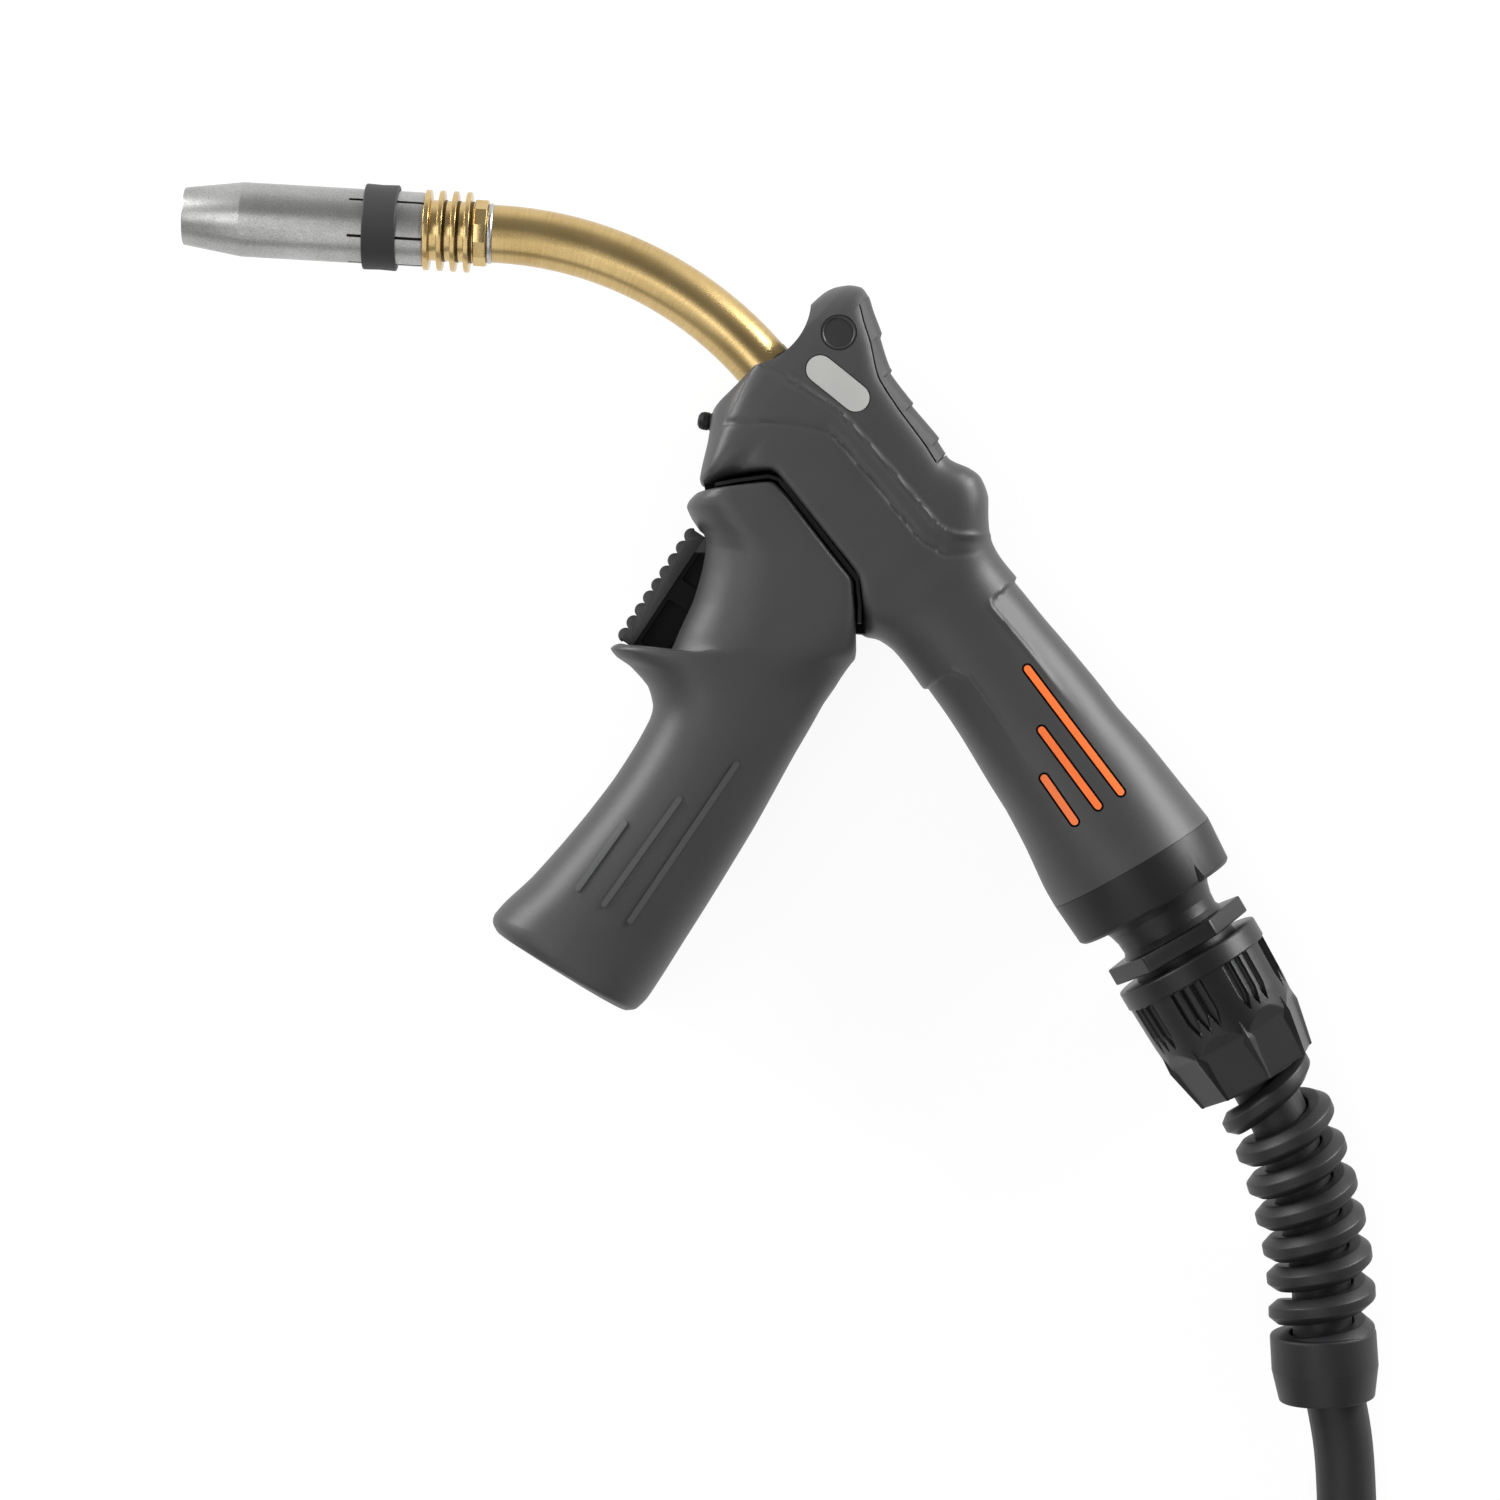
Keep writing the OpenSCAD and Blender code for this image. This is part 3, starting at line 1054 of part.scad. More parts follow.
// ---- Plug, measured along its axis from the coil's end ----
boot_at = 46;
housing_at = 98;
housing_end = 150;
housing_front_r = 16.8;
flange_r = 20;
flange_thickness = 4;
contact_at = housing_end + flange_thickness;
contact_end = contact_at + contact_length;
spigot_end = contact_end + spigot_length;
plug_nut_at = housing_end - 13;
nut_bore_r = flange_r + 0.5;
pin_circle_r = 8;
seal_at = 3;
module plug_boot() {
    length = housing_at - boot_at + 5;
    color([0.1, 0.1, 0.1]) in_plug() translate([0, 0, boot_at]) difference() {
        union() {
            cylinder(h = length, r1 = 10, r2 = 12.5, $fn = 64);
            for (k = [0 : 6]) translate([0, 0, 4 + 6.2 * k])
                cylinder(h = 3, r = 11.4 + 0.35 * k, $fn = 64);
        }
        translate([0, 0, -1]) cylinder(h = length + 2, r = cable_r + 0.1, $fn = 64);
    }
}
module plug_housing() {
    color([0.15, 0.15, 0.15]) in_plug() difference() {
        union() {
            translate([0, 0, housing_at]) cylinder(h = 30, r1 = 15.5, r2 = 20, $fn = 64);
            translate([0, 0, housing_at + 29.9]) cylinder(h = plug_nut_at - housing_at - 30.2, r = 20, $fn = 64);
            translate([0, 0, plug_nut_at - 1]) cylinder(h = housing_end - plug_nut_at + 1,
                r = housing_front_r, $fn = 64);
        }
        translate([0, 0, housing_at - 1]) cylinder(h = 7, r = 12.7, $fn = 64);
        translate([0, 0, housing_at + 5.9]) cylinder(h = 20, r = cable_r + 0.2, $fn = 64);
        translate([0, 0, housing_at + 16]) cylinder(h = 60, r = 13.6, $fn = 64);
    }
}
module plug_body() {
    color([0.8, 0.66, 0.35]) in_plug() difference() {
        union() {
            translate([0, 0, housing_at + 17]) cylinder(h = housing_end - housing_at - 16, r = 13.5, $fn = 64);
            translate([0, 0, housing_end + fit]) cylinder(h = flange_thickness, r = flange_r, $fn = 64);
            translate([0, 0, contact_at - 1]) cylinder(h = contact_length + 1, r = contact_r, $fn = 64);
            translate([0, 0, contact_end - 1]) cylinder(h = spigot_length + 1, r = spigot_r, $fn = 64);
        }
        translate([0, 0, housing_at]) cylinder(h = 120, r = 1.6, $fn = 32);
        translate([0, 0, contact_end + seal_at - 0.8]) difference() {
            cylinder(h = 1.6, r = spigot_r + 1, $fn = 64);
            cylinder(h = 1.6, r = spigot_r - 1.1, $fn = 64);
        }
        for (side = [-1, 1]) rotate([0, 0, 90 * side]) translate([pin_circle_r, 0, contact_end - 9])
            cylinder(h = 12, r = pin_r + fit, $fn = 32);
    }
}
module spigot_seal() {
    color([0.05, 0.05, 0.05]) in_plug() translate([0, 0, contact_end + seal_at])
        rotate_extrude($fn = 64) translate([spigot_r - 0.3, 0]) circle(0.75, $fn = 24);
}
module plug_nut() {
    color([0.12, 0.12, 0.12]) in_plug() translate([0, 0, plug_nut_at]) difference() {
        union() {
            cylinder(h = plug_nut_length, r = plug_nut_r - 1, $fn = 96);
            for (k = [0 : 17]) rotate([0, 0, 20 * k]) translate([plug_nut_r - 2.2, 0, 2])
                cylinder(h = plug_nut_length - 4, r = 2.2, $fn = 32);
        }
        translate([0, 0, -1]) cylinder(h = 40, r = housing_front_r + fit, $fn = 96);
        translate([0, 0, housing_end - plug_nut_at - 0.4]) cylinder(h = 60, r = nut_bore_r, $fn = 96);
    }
}
module control_pins() {
    color([0.85, 0.75, 0.45]) in_plug() for (side = [-1, 1]) rotate([0, 0, 90 * side])
        translate([pin_circle_r, 0, contact_end - 5]) {
            cylinder(h = 5 + pin_height - 0.8, r = pin_r, $fn = 32);
            translate([0, 0, 5 + pin_height - 0.8]) cylinder(h = 0.8, r1 = pin_r, r2 = pin_r - 0.5, $fn = 32);
        }
}

gas_nozzle();
nozzle_band();
contact_tip();
tip_holder();
gas_diffuser();
nozzle_insulator();
cooling_body();
neck_nut();
neck_washer();
neck_tube();
neck_insulator();
conductor_tube();
wire_liner();
neck_clamp();
clamp_screws();
cable_coupler();
inner_cable();
barrel_shell_left();
barrel_shell_right();
grip_shell_left();
grip_shell_right();
shell_screws();
grip_bracket();
thumb_pad();
badge_disc();
label_plate();
stripe_inlays();
lock_button();
trigger();
trigger_pin();
trigger_spring();
microswitch();
switch_plunger();
switch_bracket();
switch_wires();
end_ring();
ring_retainer();
socket_ring();
ball_stem();
clamp_nut();
gland_insert();
cable_entry();
strain_spiral();
strain_cuff();
cable_lead();
cable_coil();
cable_tail();
plug_boot();
plug_housing();
plug_nut();
plug_body();
spigot_seal();
control_pins();
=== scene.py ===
import math

import bmesh
import bpy
import numpy as np
from mathutils import Matrix, Vector
from mathutils.bvhtree import BVHTree


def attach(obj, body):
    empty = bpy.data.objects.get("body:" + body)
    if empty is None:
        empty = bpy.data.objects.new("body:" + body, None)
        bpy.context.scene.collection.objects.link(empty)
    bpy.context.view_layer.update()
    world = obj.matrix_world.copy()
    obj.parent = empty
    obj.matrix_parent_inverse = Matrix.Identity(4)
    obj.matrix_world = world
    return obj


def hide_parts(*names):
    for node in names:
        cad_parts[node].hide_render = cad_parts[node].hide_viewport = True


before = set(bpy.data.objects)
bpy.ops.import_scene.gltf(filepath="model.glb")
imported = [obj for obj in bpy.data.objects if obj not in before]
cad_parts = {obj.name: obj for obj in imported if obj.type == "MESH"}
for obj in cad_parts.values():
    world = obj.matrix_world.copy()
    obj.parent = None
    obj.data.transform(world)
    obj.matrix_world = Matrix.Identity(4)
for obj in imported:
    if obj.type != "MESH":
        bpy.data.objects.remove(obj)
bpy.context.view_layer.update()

scene = bpy.context.scene
MM = 0.001
PLANE = 23.25    # height of the middle plane, in which the halves of the casing meet
HERE = Matrix.Identity(4)


# ---- Frames, in millimetres ----
def turn(axis, degrees):
    """A turn about an axis through the origin."""
    return Matrix.Rotation(math.radians(degrees), 4, axis)


def shift(x, y, z=0.0):
    """A move without a turn."""
    return Matrix.Translation((x, y, z))


HANDLE = shift(-13, 109, PLANE) @ turn("Z", -48.7)
NECK_STRAIGHT = 1.2
BEND_R, BEND = 99.0, 45.3
NECK_IN_HANDLE = shift(-1.2, 2.6) @ turn("Z", 3.4)
TAIL = HANDLE @ NECK_IN_HANDLE
NOSE = (TAIL @ shift(-NECK_STRAIGHT, -BEND_R) @ turn("Z", BEND) @ shift(-NECK_STRAIGHT, BEND_R)
        @ turn("Y", -90))
RING_AT, RING_TILT = (161.8, -1.4), 7.6
RING = HANDLE @ shift(*RING_AT) @ turn("Z", -RING_TILT) @ turn("Y", 90)
TRIGGER_IN_HANDLE = shift(23.3, -39.9) @ turn("Z", -71.5)
TRIGGER = HANDLE @ TRIGGER_IN_HANDLE
BUTTON_IN_HANDLE = shift(2.6, -17.2) @ turn("Z", 223) @ turn("Y", 90)


def ring_point(d):
    """A place on the end ring's axis, so far behind the ring."""
    return RING @ Vector((0, 0, d))


# ---- Camera, straight above the middle plane ----
CAMERA_AT, CAMERA_HEIGHT = (-9.14, 10.11), 1100
camera_data = bpy.data.cameras.new("camera")
camera = bpy.data.objects.new("camera", camera_data)
scene.collection.objects.link(camera)
camera_data.sensor_width = 36
camera_data.lens = 100.32
camera_data.clip_end = 10
camera.location = (CAMERA_AT[0] * MM, CAMERA_AT[1] * MM, (CAMERA_HEIGHT + PLANE) * MM)
camera.rotation_euler = (0, 0, math.radians(3.3))
scene.camera = camera
scene.view_settings.view_transform = "Standard"


# ---- Shader groups ----
def new_node(tree, kind, values=None, **settings):
    """A shader node with its settings, and the values of its inputs by name or number."""
    made = tree.nodes.new("ShaderNode" + kind)
    for name, value in settings.items():
        setattr(made, name, value)
    for key, value in (values or {}).items():
        made.inputs[key].default_value = value
    return made


def wire(tree, *links):
    """Links, each from an output of one node to an input of another."""
    for source, output, target, socket in links:
        tree.links.new(source.outputs[output], target.inputs[socket])


def shader_group(name, inputs):
    """A group with its inputs, and with colour, roughness and height as its outputs."""
    group = bpy.data.node_groups.new(name, "ShaderNodeTree")
    for label, kind, value in inputs:
        made = group.interface.new_socket(name=label, in_out="INPUT", socket_type="NodeSocket" + kind)
        if value is not None:
            made.default_value = value
    for label, kind in (("Colour", "Color"), ("Roughness", "Float"), ("Height", "Float")):
        group.interface.new_socket(name=label, in_out="OUTPUT", socket_type="NodeSocket" + kind)
    return group, group.nodes.new("NodeGroupInput"), group.nodes.new("NodeGroupOutput")


def moulded_grain_group():
    """Fine spark-eroded texture of moulded plastic, with soft clouds of handling."""
    group, given, out = shader_group("moulded grain", (
        ("Scale", "Float", 2600.0), ("Cloud scale", "Float", 28.0),
        ("Colour", "Color", (0.06, 0.06, 0.06, 1)), ("Worn colour", "Color", (0.09, 0.09, 0.09, 1)),
        ("Roughness", "Float", 0.5)))
    place = new_node(group, "TexCoord")
    grain = new_node(group, "TexNoise", {"Detail": 2.5, "Roughness": 0.65})
    cloud = new_node(group, "TexNoise", {"Detail": 3.0})
    worn = new_node(group, "MapRange", {"From Min": 0.35, "From Max": 0.75})
    mix = new_node(group, "Mix", data_type="RGBA")
    rough = new_node(group, "Math", {1: 0.16}, operation="MULTIPLY_ADD")
    less = new_node(group, "Math", {1: 0.08}, operation="SUBTRACT")
    wire(group,
         (place, "Object", grain, "Vector"), (place, "Object", cloud, "Vector"),
         (given, "Scale", grain, "Scale"), (given, "Cloud scale", cloud, "Scale"),
         (cloud, "Fac", worn, "Value"), (worn, "Result", mix, "Factor"),
         (given, "Colour", mix, "A"), (given, "Worn colour", mix, "B"), (mix, "Result", out, "Colour"),
         (given, "Roughness", less, 0), (grain, "Fac", rough, 0), (less, "Value", rough, 2),
         (rough, "Value", out, "Roughness"), (grain, "Fac", out, "Height"))
    return group


def turned_metal_group():
    """Metal with tool marks: fine lines along one direction of a given vector, over soft tarnish."""
    group, given, out = shader_group("turned metal", (
        ("Vector", "Vector", None), ("Line scale", "Float", 900.0), ("Speckle scale", "Float", 900.0),
        ("Speckle", "Float", 0.4), ("Bright", "Color", (0.8, 0.6, 0.3, 1)),
        ("Dark", "Color", (0.5, 0.36, 0.16, 1)), ("Roughness", "Float", 0.3)))
    place = new_node(group, "TexCoord")
    lines = new_node(group, "TexNoise", {"Detail": 3.0, "Roughness": 0.7})
    speckle = new_node(group, "TexNoise", {"Detail": 2.0, "Roughness": 0.6})
    tarnish = new_node(group, "TexNoise", {"Scale": 70.0, "Detail": 3.0})
    both = new_node(group, "Mix", data_type="FLOAT")
    shade = new_node(group, "Math", {1: 0.5}, operation="MULTIPLY_ADD")
    dull = new_node(group, "MapRange", {"From Min": 0.42, "From Max": 0.98})
    mix = new_node(group, "Mix", data_type="RGBA")
    rough = new_node(group, "Math", {1: 0.22}, operation="MULTIPLY_ADD")
    less = new_node(group, "Math", {1: 0.11}, operation="SUBTRACT")
    wire(group,
         (given, "Vector", lines, "Vector"), (given, "Line scale", lines, "Scale"),
         (place, "Object", speckle, "Vector"), (given, "Speckle scale", speckle, "Scale"),
         (place, "Object", tarnish, "Vector"), (given, "Speckle", both, "Factor"),
         (lines, "Fac", both, "A"), (speckle, "Fac", both, "B"),
         (tarnish, "Fac", shade, 0), (both, "Result", shade, 2), (shade, "Value", dull, "Value"),
         (dull, "Result", mix, "Factor"), (given, "Bright", mix, "A"), (given, "Dark", mix, "B"),
         (mix, "Result", out, "Colour"), (given, "Roughness", less, 0), (both, "Result", rough, 0),
         (less, "Value", rough, 2), (rough, "Value", out, "Roughness"), (both, "Result", out, "Height"))
    return group


MOULDED_GRAIN = moulded_grain_group()
TURNED_METAL = turned_metal_group()


# ---- Materials ----
def blank_material(name):
    """A new material, its nodes and its shader."""
    made = bpy.data.materials.new(name)
    made.use_nodes = True
    return made, made.node_tree, made.node_tree.nodes["Principled BSDF"]


def grouped_material(name, group, values, depth, bumps):
    """A material whose colour, roughness and bumps come from a shader group."""
    made, tree, shader = blank_material(name)
    effect = new_node(tree, "Group", node_tree=group)
    for label, value in values.items():
        effect.inputs[label].default_value = value
    bump = new_node(tree, "Bump", {"Strength": bumps, "Distance": depth * MM})
    wire(tree, (effect, "Colour", shader, "Base Color"), (effect, "Roughness", shader, "Roughness"),
         (effect, "Height", bump, "Height"), (bump, "Normal", shader, "Normal"))
    return made, shader, tree, effect


def moulded(name, colour, worn, roughness, grain=2600.0, depth=0.05, ior=1.5, cloud=28.0):
    """Plastic or rubber with a fine moulded grain."""
    values = {"Scale": grain, "Cloud scale": cloud, "Colour": (*colour, 1), "Worn colour": (*worn, 1),
              "Roughness": roughness}
    made, shader = grouped_material(name, MOULDED_GRAIN, values, depth, 0.6)[:2]
    shader.inputs["IOR"].default_value = ior
    return made


def metal(name, bright, dark, roughness, along=(1, 1, 1), lines=900.0, speckle=0.4, grain=900.0, depth=0.02,
          own_map=None, bumps=0.5):
    """Metal whose tool marks are drawn out along the axes that along makes small."""
    values = {"Line scale": lines, "Speckle scale": grain, "Speckle": speckle, "Bright": (*bright, 1),
              "Dark": (*dark, 1), "Roughness": roughness}
    made, shader, tree, effect = grouped_material(name, TURNED_METAL, values, depth, bumps)
    mapping = new_node(tree, "Mapping", {"Scale": along})
    if own_map:
        wire(tree, (new_node(tree, "UVMap", uv_map=own_map), "UV", mapping, "Vector"))
    else:
        wire(tree, (new_node(tree, "TexCoord"), "Object", mapping, "Vector"))
    wire(tree, (mapping, "Vector", effect, "Vector"))
    shader.inputs["Metallic"].default_value = 1.0
    return made


def grey(level, blue=0.001):
    """A neutral colour, with its blue a little off the rest."""
    return (level, level, level + blue)


CASING = moulded("casing plastic", grey(0.034), grey(0.04), 0.46)
GRIP = moulded("grip plastic", grey(0.034), grey(0.04), 0.46)
GRIP_BAR = moulded("grip bar plastic", grey(0.055), grey(0.062), 0.42)
PAD = moulded("pad rubber", grey(0.026), grey(0.033), 0.6, grain=1800)
RING_PLASTIC = moulded("end ring plastic", grey(0.007), grey(0.01), 0.42, depth=0.03, ior=1.4)
NUT_PLASTIC = moulded("clamp nut plastic", grey(0.007), grey(0.01), 0.36, depth=0.03, ior=1.42)
SPIRAL_PLASTIC = moulded("spiral plastic", grey(0.008), grey(0.012), 0.46, ior=1.44)
CABLE_RUBBER = moulded("cable rubber", grey(0.011), grey(0.015), 0.5, grain=1500, ior=1.42)
BLACK_PLASTIC = moulded("black plastic", grey(0.006), grey(0.009), 0.5, ior=1.36)
# Painted shade: a near-black, dull plastic laid where the stripe grooves, the casing's joint and the
# trigger's cheeks lie in deep shade.
PAINTED_SHADE = moulded("painted shade plastic", grey(0.003, 0.0005), grey(0.005, 0.0005), 0.7, ior=1.22)
BAND_RUBBER = moulded("band rubber", grey(0.018), grey(0.024), 0.6, grain=1800)
BADGE = moulded("badge disc", grey(0.013), grey(0.017), 0.42)
LABEL = moulded("label plate", grey(0.42, -0.015), grey(0.38, -0.01), 0.4, depth=0.01, cloud=60)
ORANGE = moulded("orange inlay", (0.86, 0.17, 0.03), (0.8, 0.15, 0.025), 0.45, depth=0.03)
INSULATOR = moulded("insulator", (0.05, 0.042, 0.036), (0.06, 0.05, 0.045), 0.6)
CERAMIC = moulded("diffuser ceramic", (0.78, 0.74, 0.66), (0.7, 0.66, 0.58), 0.35)
TRIGGER_PLASTIC = moulded("trigger plastic", grey(0.02), grey(0.026), 0.46)
RED = moulded("red plastic", (0.45, 0.02, 0.015), (0.4, 0.018, 0.012), 0.4)
NICKEL = metal("nickel plate", (0.58, 0.575, 0.57), (0.26, 0.26, 0.257), 0.36, along=(0.02, 1, 1), lines=3200,
               speckle=0.8, grain=2600, depth=0.03)
BRASS = metal("turned brass", (0.78, 0.59, 0.29), (0.5, 0.35, 0.14), 0.26, lines=3000, speckle=0.5,
              grain=2600, depth=0.004, bumps=0.2)
# Painted shade: a dark brass for the shaded grooves between the cooling fins.
BRASS_GROOVE_SHADE = metal("painted groove shade brass", (0.13, 0.09, 0.036), (0.07, 0.047, 0.018), 0.45, depth=0.004, bumps=0.2)
BRASS_TUBE = metal("neck brass", (0.74, 0.55, 0.26), (0.46, 0.32, 0.13), 0.29, along=(1, 0.05, 1), lines=1.4,
                   speckle=0.5, grain=3000, own_map="run", bumps=0.3)
COPPER = metal("turned copper", (0.8, 0.42, 0.26), (0.5, 0.22, 0.12), 0.3)
STEEL = metal("zinc steel", (0.6, 0.6, 0.59), (0.4, 0.4, 0.395), 0.34)


# ---- Mesh helpers ----
def finished(name, bm, place, body, material, replaces=(), crease=32.0):
    """The object of a bmesh drawn in millimetres in its own frame."""
    bm.transform(Matrix.Diagonal((MM, MM, MM, 1)) @ place)
    limit = math.radians(crease)
    for face in bm.faces:
        face.smooth = True
    for edge in bm.edges:
        if len(edge.link_faces) == 2 and edge.calc_face_angle(0) > limit:
            edge.smooth = False
    mesh = bpy.data.meshes.new(name)
    bm.to_mesh(mesh)
    bm.free()
    made = bpy.data.objects.new(name, mesh)
    scene.collection.objects.link(made)
    mesh.materials.append(material)
    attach(made, body)
    if replaces:
        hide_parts(*replaces)
    return made


def on_handle(name, bm, material, replaces=(), crease=32.0):
    """A finished piece that is drawn in the handle's frame and rides with the handle."""
    return finished(name, bm, HANDLE, "handle", material, replaces, crease)


def eased(outline, radius, closed=True, steps=4):
    """An outline with its corners rounded; an open one keeps its ends."""
    points = [Vector(p) for p in outline]
    count = len(points)
    made = []
    for i, p in enumerate(points):
        if not closed and i in (0, count - 1):
            made.append(p.copy())
            continue
        a, b = points[i - 1] - p, points[(i + 1) % count] - p
        if a.length < 1e-9 or b.length < 1e-9:
            continue
        half = a.angle(b) / 2
        if half > math.radians(86):
            made.append(p.copy())
            continue
        reach = min(radius / math.tan(half), 0.48 * a.length, 0.48 * b.length)
        start, end = p + a.normalized() * reach, p + b.normalized() * reach
        for k in range(steps + 1):
            u = k / steps
            made.append((1 - u) ** 2 * start + 2 * u * (1 - u) * p + u * u * end)
    return made


def lathe(profile, radius=0.3, steps=96, closed=True, ease=3):
    """A profile of (radius, height) spun round z."""
    bm = bmesh.new()
    points = eased(profile, radius, closed, ease) if radius else [Vector(p) for p in profile]
    verts = [bm.verts.new((p[0], 0, p[1])) for p in points]
    edges = [bm.edges.new(pair) for pair in zip(verts, verts[1:])]
    if closed:
        edges.append(bm.edges.new((verts[-1], verts[0])))
    bmesh.ops.spin(bm, geom=verts + edges, cent=(0, 0, 0), axis=(0, 0, 1), angle=math.tau, steps=steps,
                   use_merge=True)
    bmesh.ops.remove_doubles(bm, verts=bm.verts, dist=1e-4)
    bmesh.ops.recalc_face_normals(bm, faces=bm.faces)
    return bm


def slab(outline, low, high, bevel=0.0, segments=2):
    """A flat outline raised from low to high, with its rims bevelled."""
    bm = bmesh.new()
    verts = [bm.verts.new((p[0], p[1], low)) for p in outline]
    base = bm.faces.new(verts)
    raised = bmesh.ops.extrude_face_region(bm, geom=[base])
    tops = [g for g in raised["geom"] if isinstance(g, bmesh.types.BMVert)]
    bmesh.ops.translate(bm, verts=tops, vec=(0, 0, high - low))
    bmesh.ops.recalc_face_normals(bm, faces=bm.faces)
    if bevel:
        rims = [e for e in bm.edges if abs(e.verts[0].co.z - e.verts[1].co.z) < 1e-6]
        bmesh.ops.bevel(bm, geom=rims, offset=bevel, offset_type="OFFSET", segments=segments, profile=0.5,
                        affect="EDGES", material=-1)
    return bm


def block(low, high, bevel=0.3, segments=2):
    """A box between two corners, with its edges bevelled."""
    bm = bmesh.new()
    bmesh.ops.create_cube(bm, size=1)
    size = [b - a for a, b in zip(low, high)]
    bmesh.ops.scale(bm, vec=size, verts=bm.verts)
    bmesh.ops.translate(bm, vec=[(a + b) / 2 for a, b in zip(low, high)], verts=bm.verts)
    bmesh.ops.bevel(bm, geom=bm.edges, offset=bevel, offset_type="OFFSET", segments=segments, profile=0.5,
                    affect="EDGES", material=-1)
    return bm


def disc(radius, count=64, at=(0, 0), first=0.0):
    """The outline of a round or many-sided plate."""
    return [(at[0] + radius * math.cos(first + math.tau * k / count),
             at[1] + radius * math.sin(first + math.tau * k / count)) for k in range(count)]


def joined(*parts):
    """Several bmeshes as one; each may come with a place."""
    whole = bmesh.new()
    for part in parts:
        bm, place = part if isinstance(part, tuple) else (part, HERE)
        bm.transform(place)
        mesh = bpy.data.meshes.new("part")
        bm.to_mesh(mesh)
        bm.free()
        whole.from_mesh(mesh)
        bpy.data.meshes.remove(mesh)
    return whole


solvers = [item.identifier for item in bpy.types.BooleanModifier.bl_rna.properties["solver"].enum_items]
CARVE_SOLVER = "MANIFOLD" if "MANIFOLD" in solvers else "EXACT"


def carved(bm, cutters):
    """bm with the cutters taken out of it."""
    objects = []
    for name, source in (("stock", bm), ("cutters", cutters)):
        mesh = bpy.data.meshes.new(name)
        source.to_mesh(mesh)
        source.free()
        made = bpy.data.objects.new(name, mesh)
        scene.collection.objects.link(made)
        objects.append(made)
    stock, tool = objects
    cut = stock.modifiers.new("carve", "BOOLEAN")
    cut.operation = "DIFFERENCE"
    cut.object = tool
    cut.solver = CARVE_SOLVER
    graph = bpy.context.evaluated_depsgraph_get()
    graph.update()
    result = bmesh.new()
    evaluated = stock.evaluated_get(graph)
    mesh = evaluated.to_mesh()
    result.from_mesh(mesh)
    evaluated.to_mesh_clear()
    for made in objects:
        mesh = made.data
        bpy.data.objects.remove(made)
        bpy.data.meshes.remove(mesh)
    return result


def grid_of(points, round_way=False):
    """A bmesh grid whose vertices take the places in an array of rows; a closed way meets its own start."""
    rows, columns = points.shape[0] - 1, points.shape[1] - 1
    bm = bmesh.new()
    bmesh.ops.create_grid(bm, x_segments=rows, y_segments=columns, size=1)
    mark = bm.verts.layers.int.new("place")
    for vert in bm.verts:
        i = round((vert.co.x + 1) / 2 * rows)
        j = round((vert.co.y + 1) / 2 * columns)
        vert[mark] = i * (columns + 1) + j
        vert.co = points[i, j]
    if round_way:
        bmesh.ops.remove_doubles(bm, verts=bm.verts, dist=1e-4)
    return bm


def smooth(low, high, value):
    """A share that rises softly from nought at low to one at high."""
    u = np.clip((value - low) / (high - low), 0, 1)
    return u * u * (3 - 2 * u)


def curve_between(p0, p1, p2, p3, u):
    """The place at a share u of the way from p1 to p2, on a smooth curve through all four."""
    return 0.5 * (2 * p1 + (p2 - p0) * u + (2 * p0 - 5 * p1 + 4 * p2 - p3) * u * u
                  + (3 * p1 - p0 - 3 * p2 + p3) * u ** 3)


# ---- Cable: its route, in millimetres ----
def spline_at(points, t):
    """The place at t on a smooth curve; whole numbers of t are its points."""
    last = len(points) - 1
    i = min(int(math.floor(t)), last - 1)
    p1, p2 = points[i], points[i + 1]
    p0 = points[i - 1] if i > 0 else 2 * p1 - p2
    p3 = points[i + 2] if i + 2 <= last else 2 * p2 - p1
    return curve_between(p0, p1, p2, p3, t - i)


NUT_AT, NUT_LENGTH = 28.3, 37.2
NUT_END = NUT_AT + NUT_LENGTH
ENTRY_END = 40.4
SPIRAL_ROUTE = [ring_point(NUT_END)] + [Vector(p) for p in (
    (136, -79, 22.3), (140, -88, 20.9), (143.5, -97, 19.3), (146.4, -106, 17.7), (148.8, -115, 16.3),
    (150.4, -124.5, 15.3), (151.4, -135, 14.6))]
LEAD_ROUTE = [ring_point(ENTRY_END), ring_point((ENTRY_END + NUT_END) / 2)] + SPIRAL_ROUTE
LEAD_ROUTE += [Vector(p) for p in (
    (153.6, -144, 13.3), (156.2, -153, 11.8), (159.2, -165, 9.6), (161, -178, 8.2), (162, -192, 8),
    (162.3, -220, 8), (162.3, -260, 8), (162, -300, 8), (162, -320, 8))]
CABLE_R = 8.0
COIL_R, COIL_PITCH, COIL_TURNS, COIL_LAYER = 114.0, 16.8, 4.25, 16.6
COIL_AT = (162 - COIL_R, -320.0)


def coil_point(angle):
    """A place on the coil, which winds in on the floor and out again on top of itself."""
    middle = COIL_TURNS * 180
    radius = COIL_R - COIL_PITCH * (middle - abs(angle - middle)) / 360
    climb = max(0.0, min(1.0, (angle - middle + 90) / 180))
    height = CABLE_R + COIL_LAYER * climb * climb * (3 - 2 * climb)
    a = math.radians(angle)
    return Vector((COIL_AT[0] + radius * math.cos(a), COIL_AT[1] - radius * math.sin(a), height))


def cable_route():
    """The cable's middle line: its lead off the torch, its coil and its tail at the plug."""
    lead_steps, turn_steps = 64, 48
    lead = [spline_at(LEAD_ROUTE, i * (len(LEAD_ROUTE) - 1) / lead_steps) for i in range(lead_steps)]
    turns = round(COIL_TURNS * turn_steps)
    coil = [coil_point(COIL_TURNS * 360 * i / turns) for i in range(turns + 1)]
    tail = [coil[-1] - Vector((x, 0, 0)) for x in (10, 20, 31, 41, 52, 62)]
    return lead + coil + tail


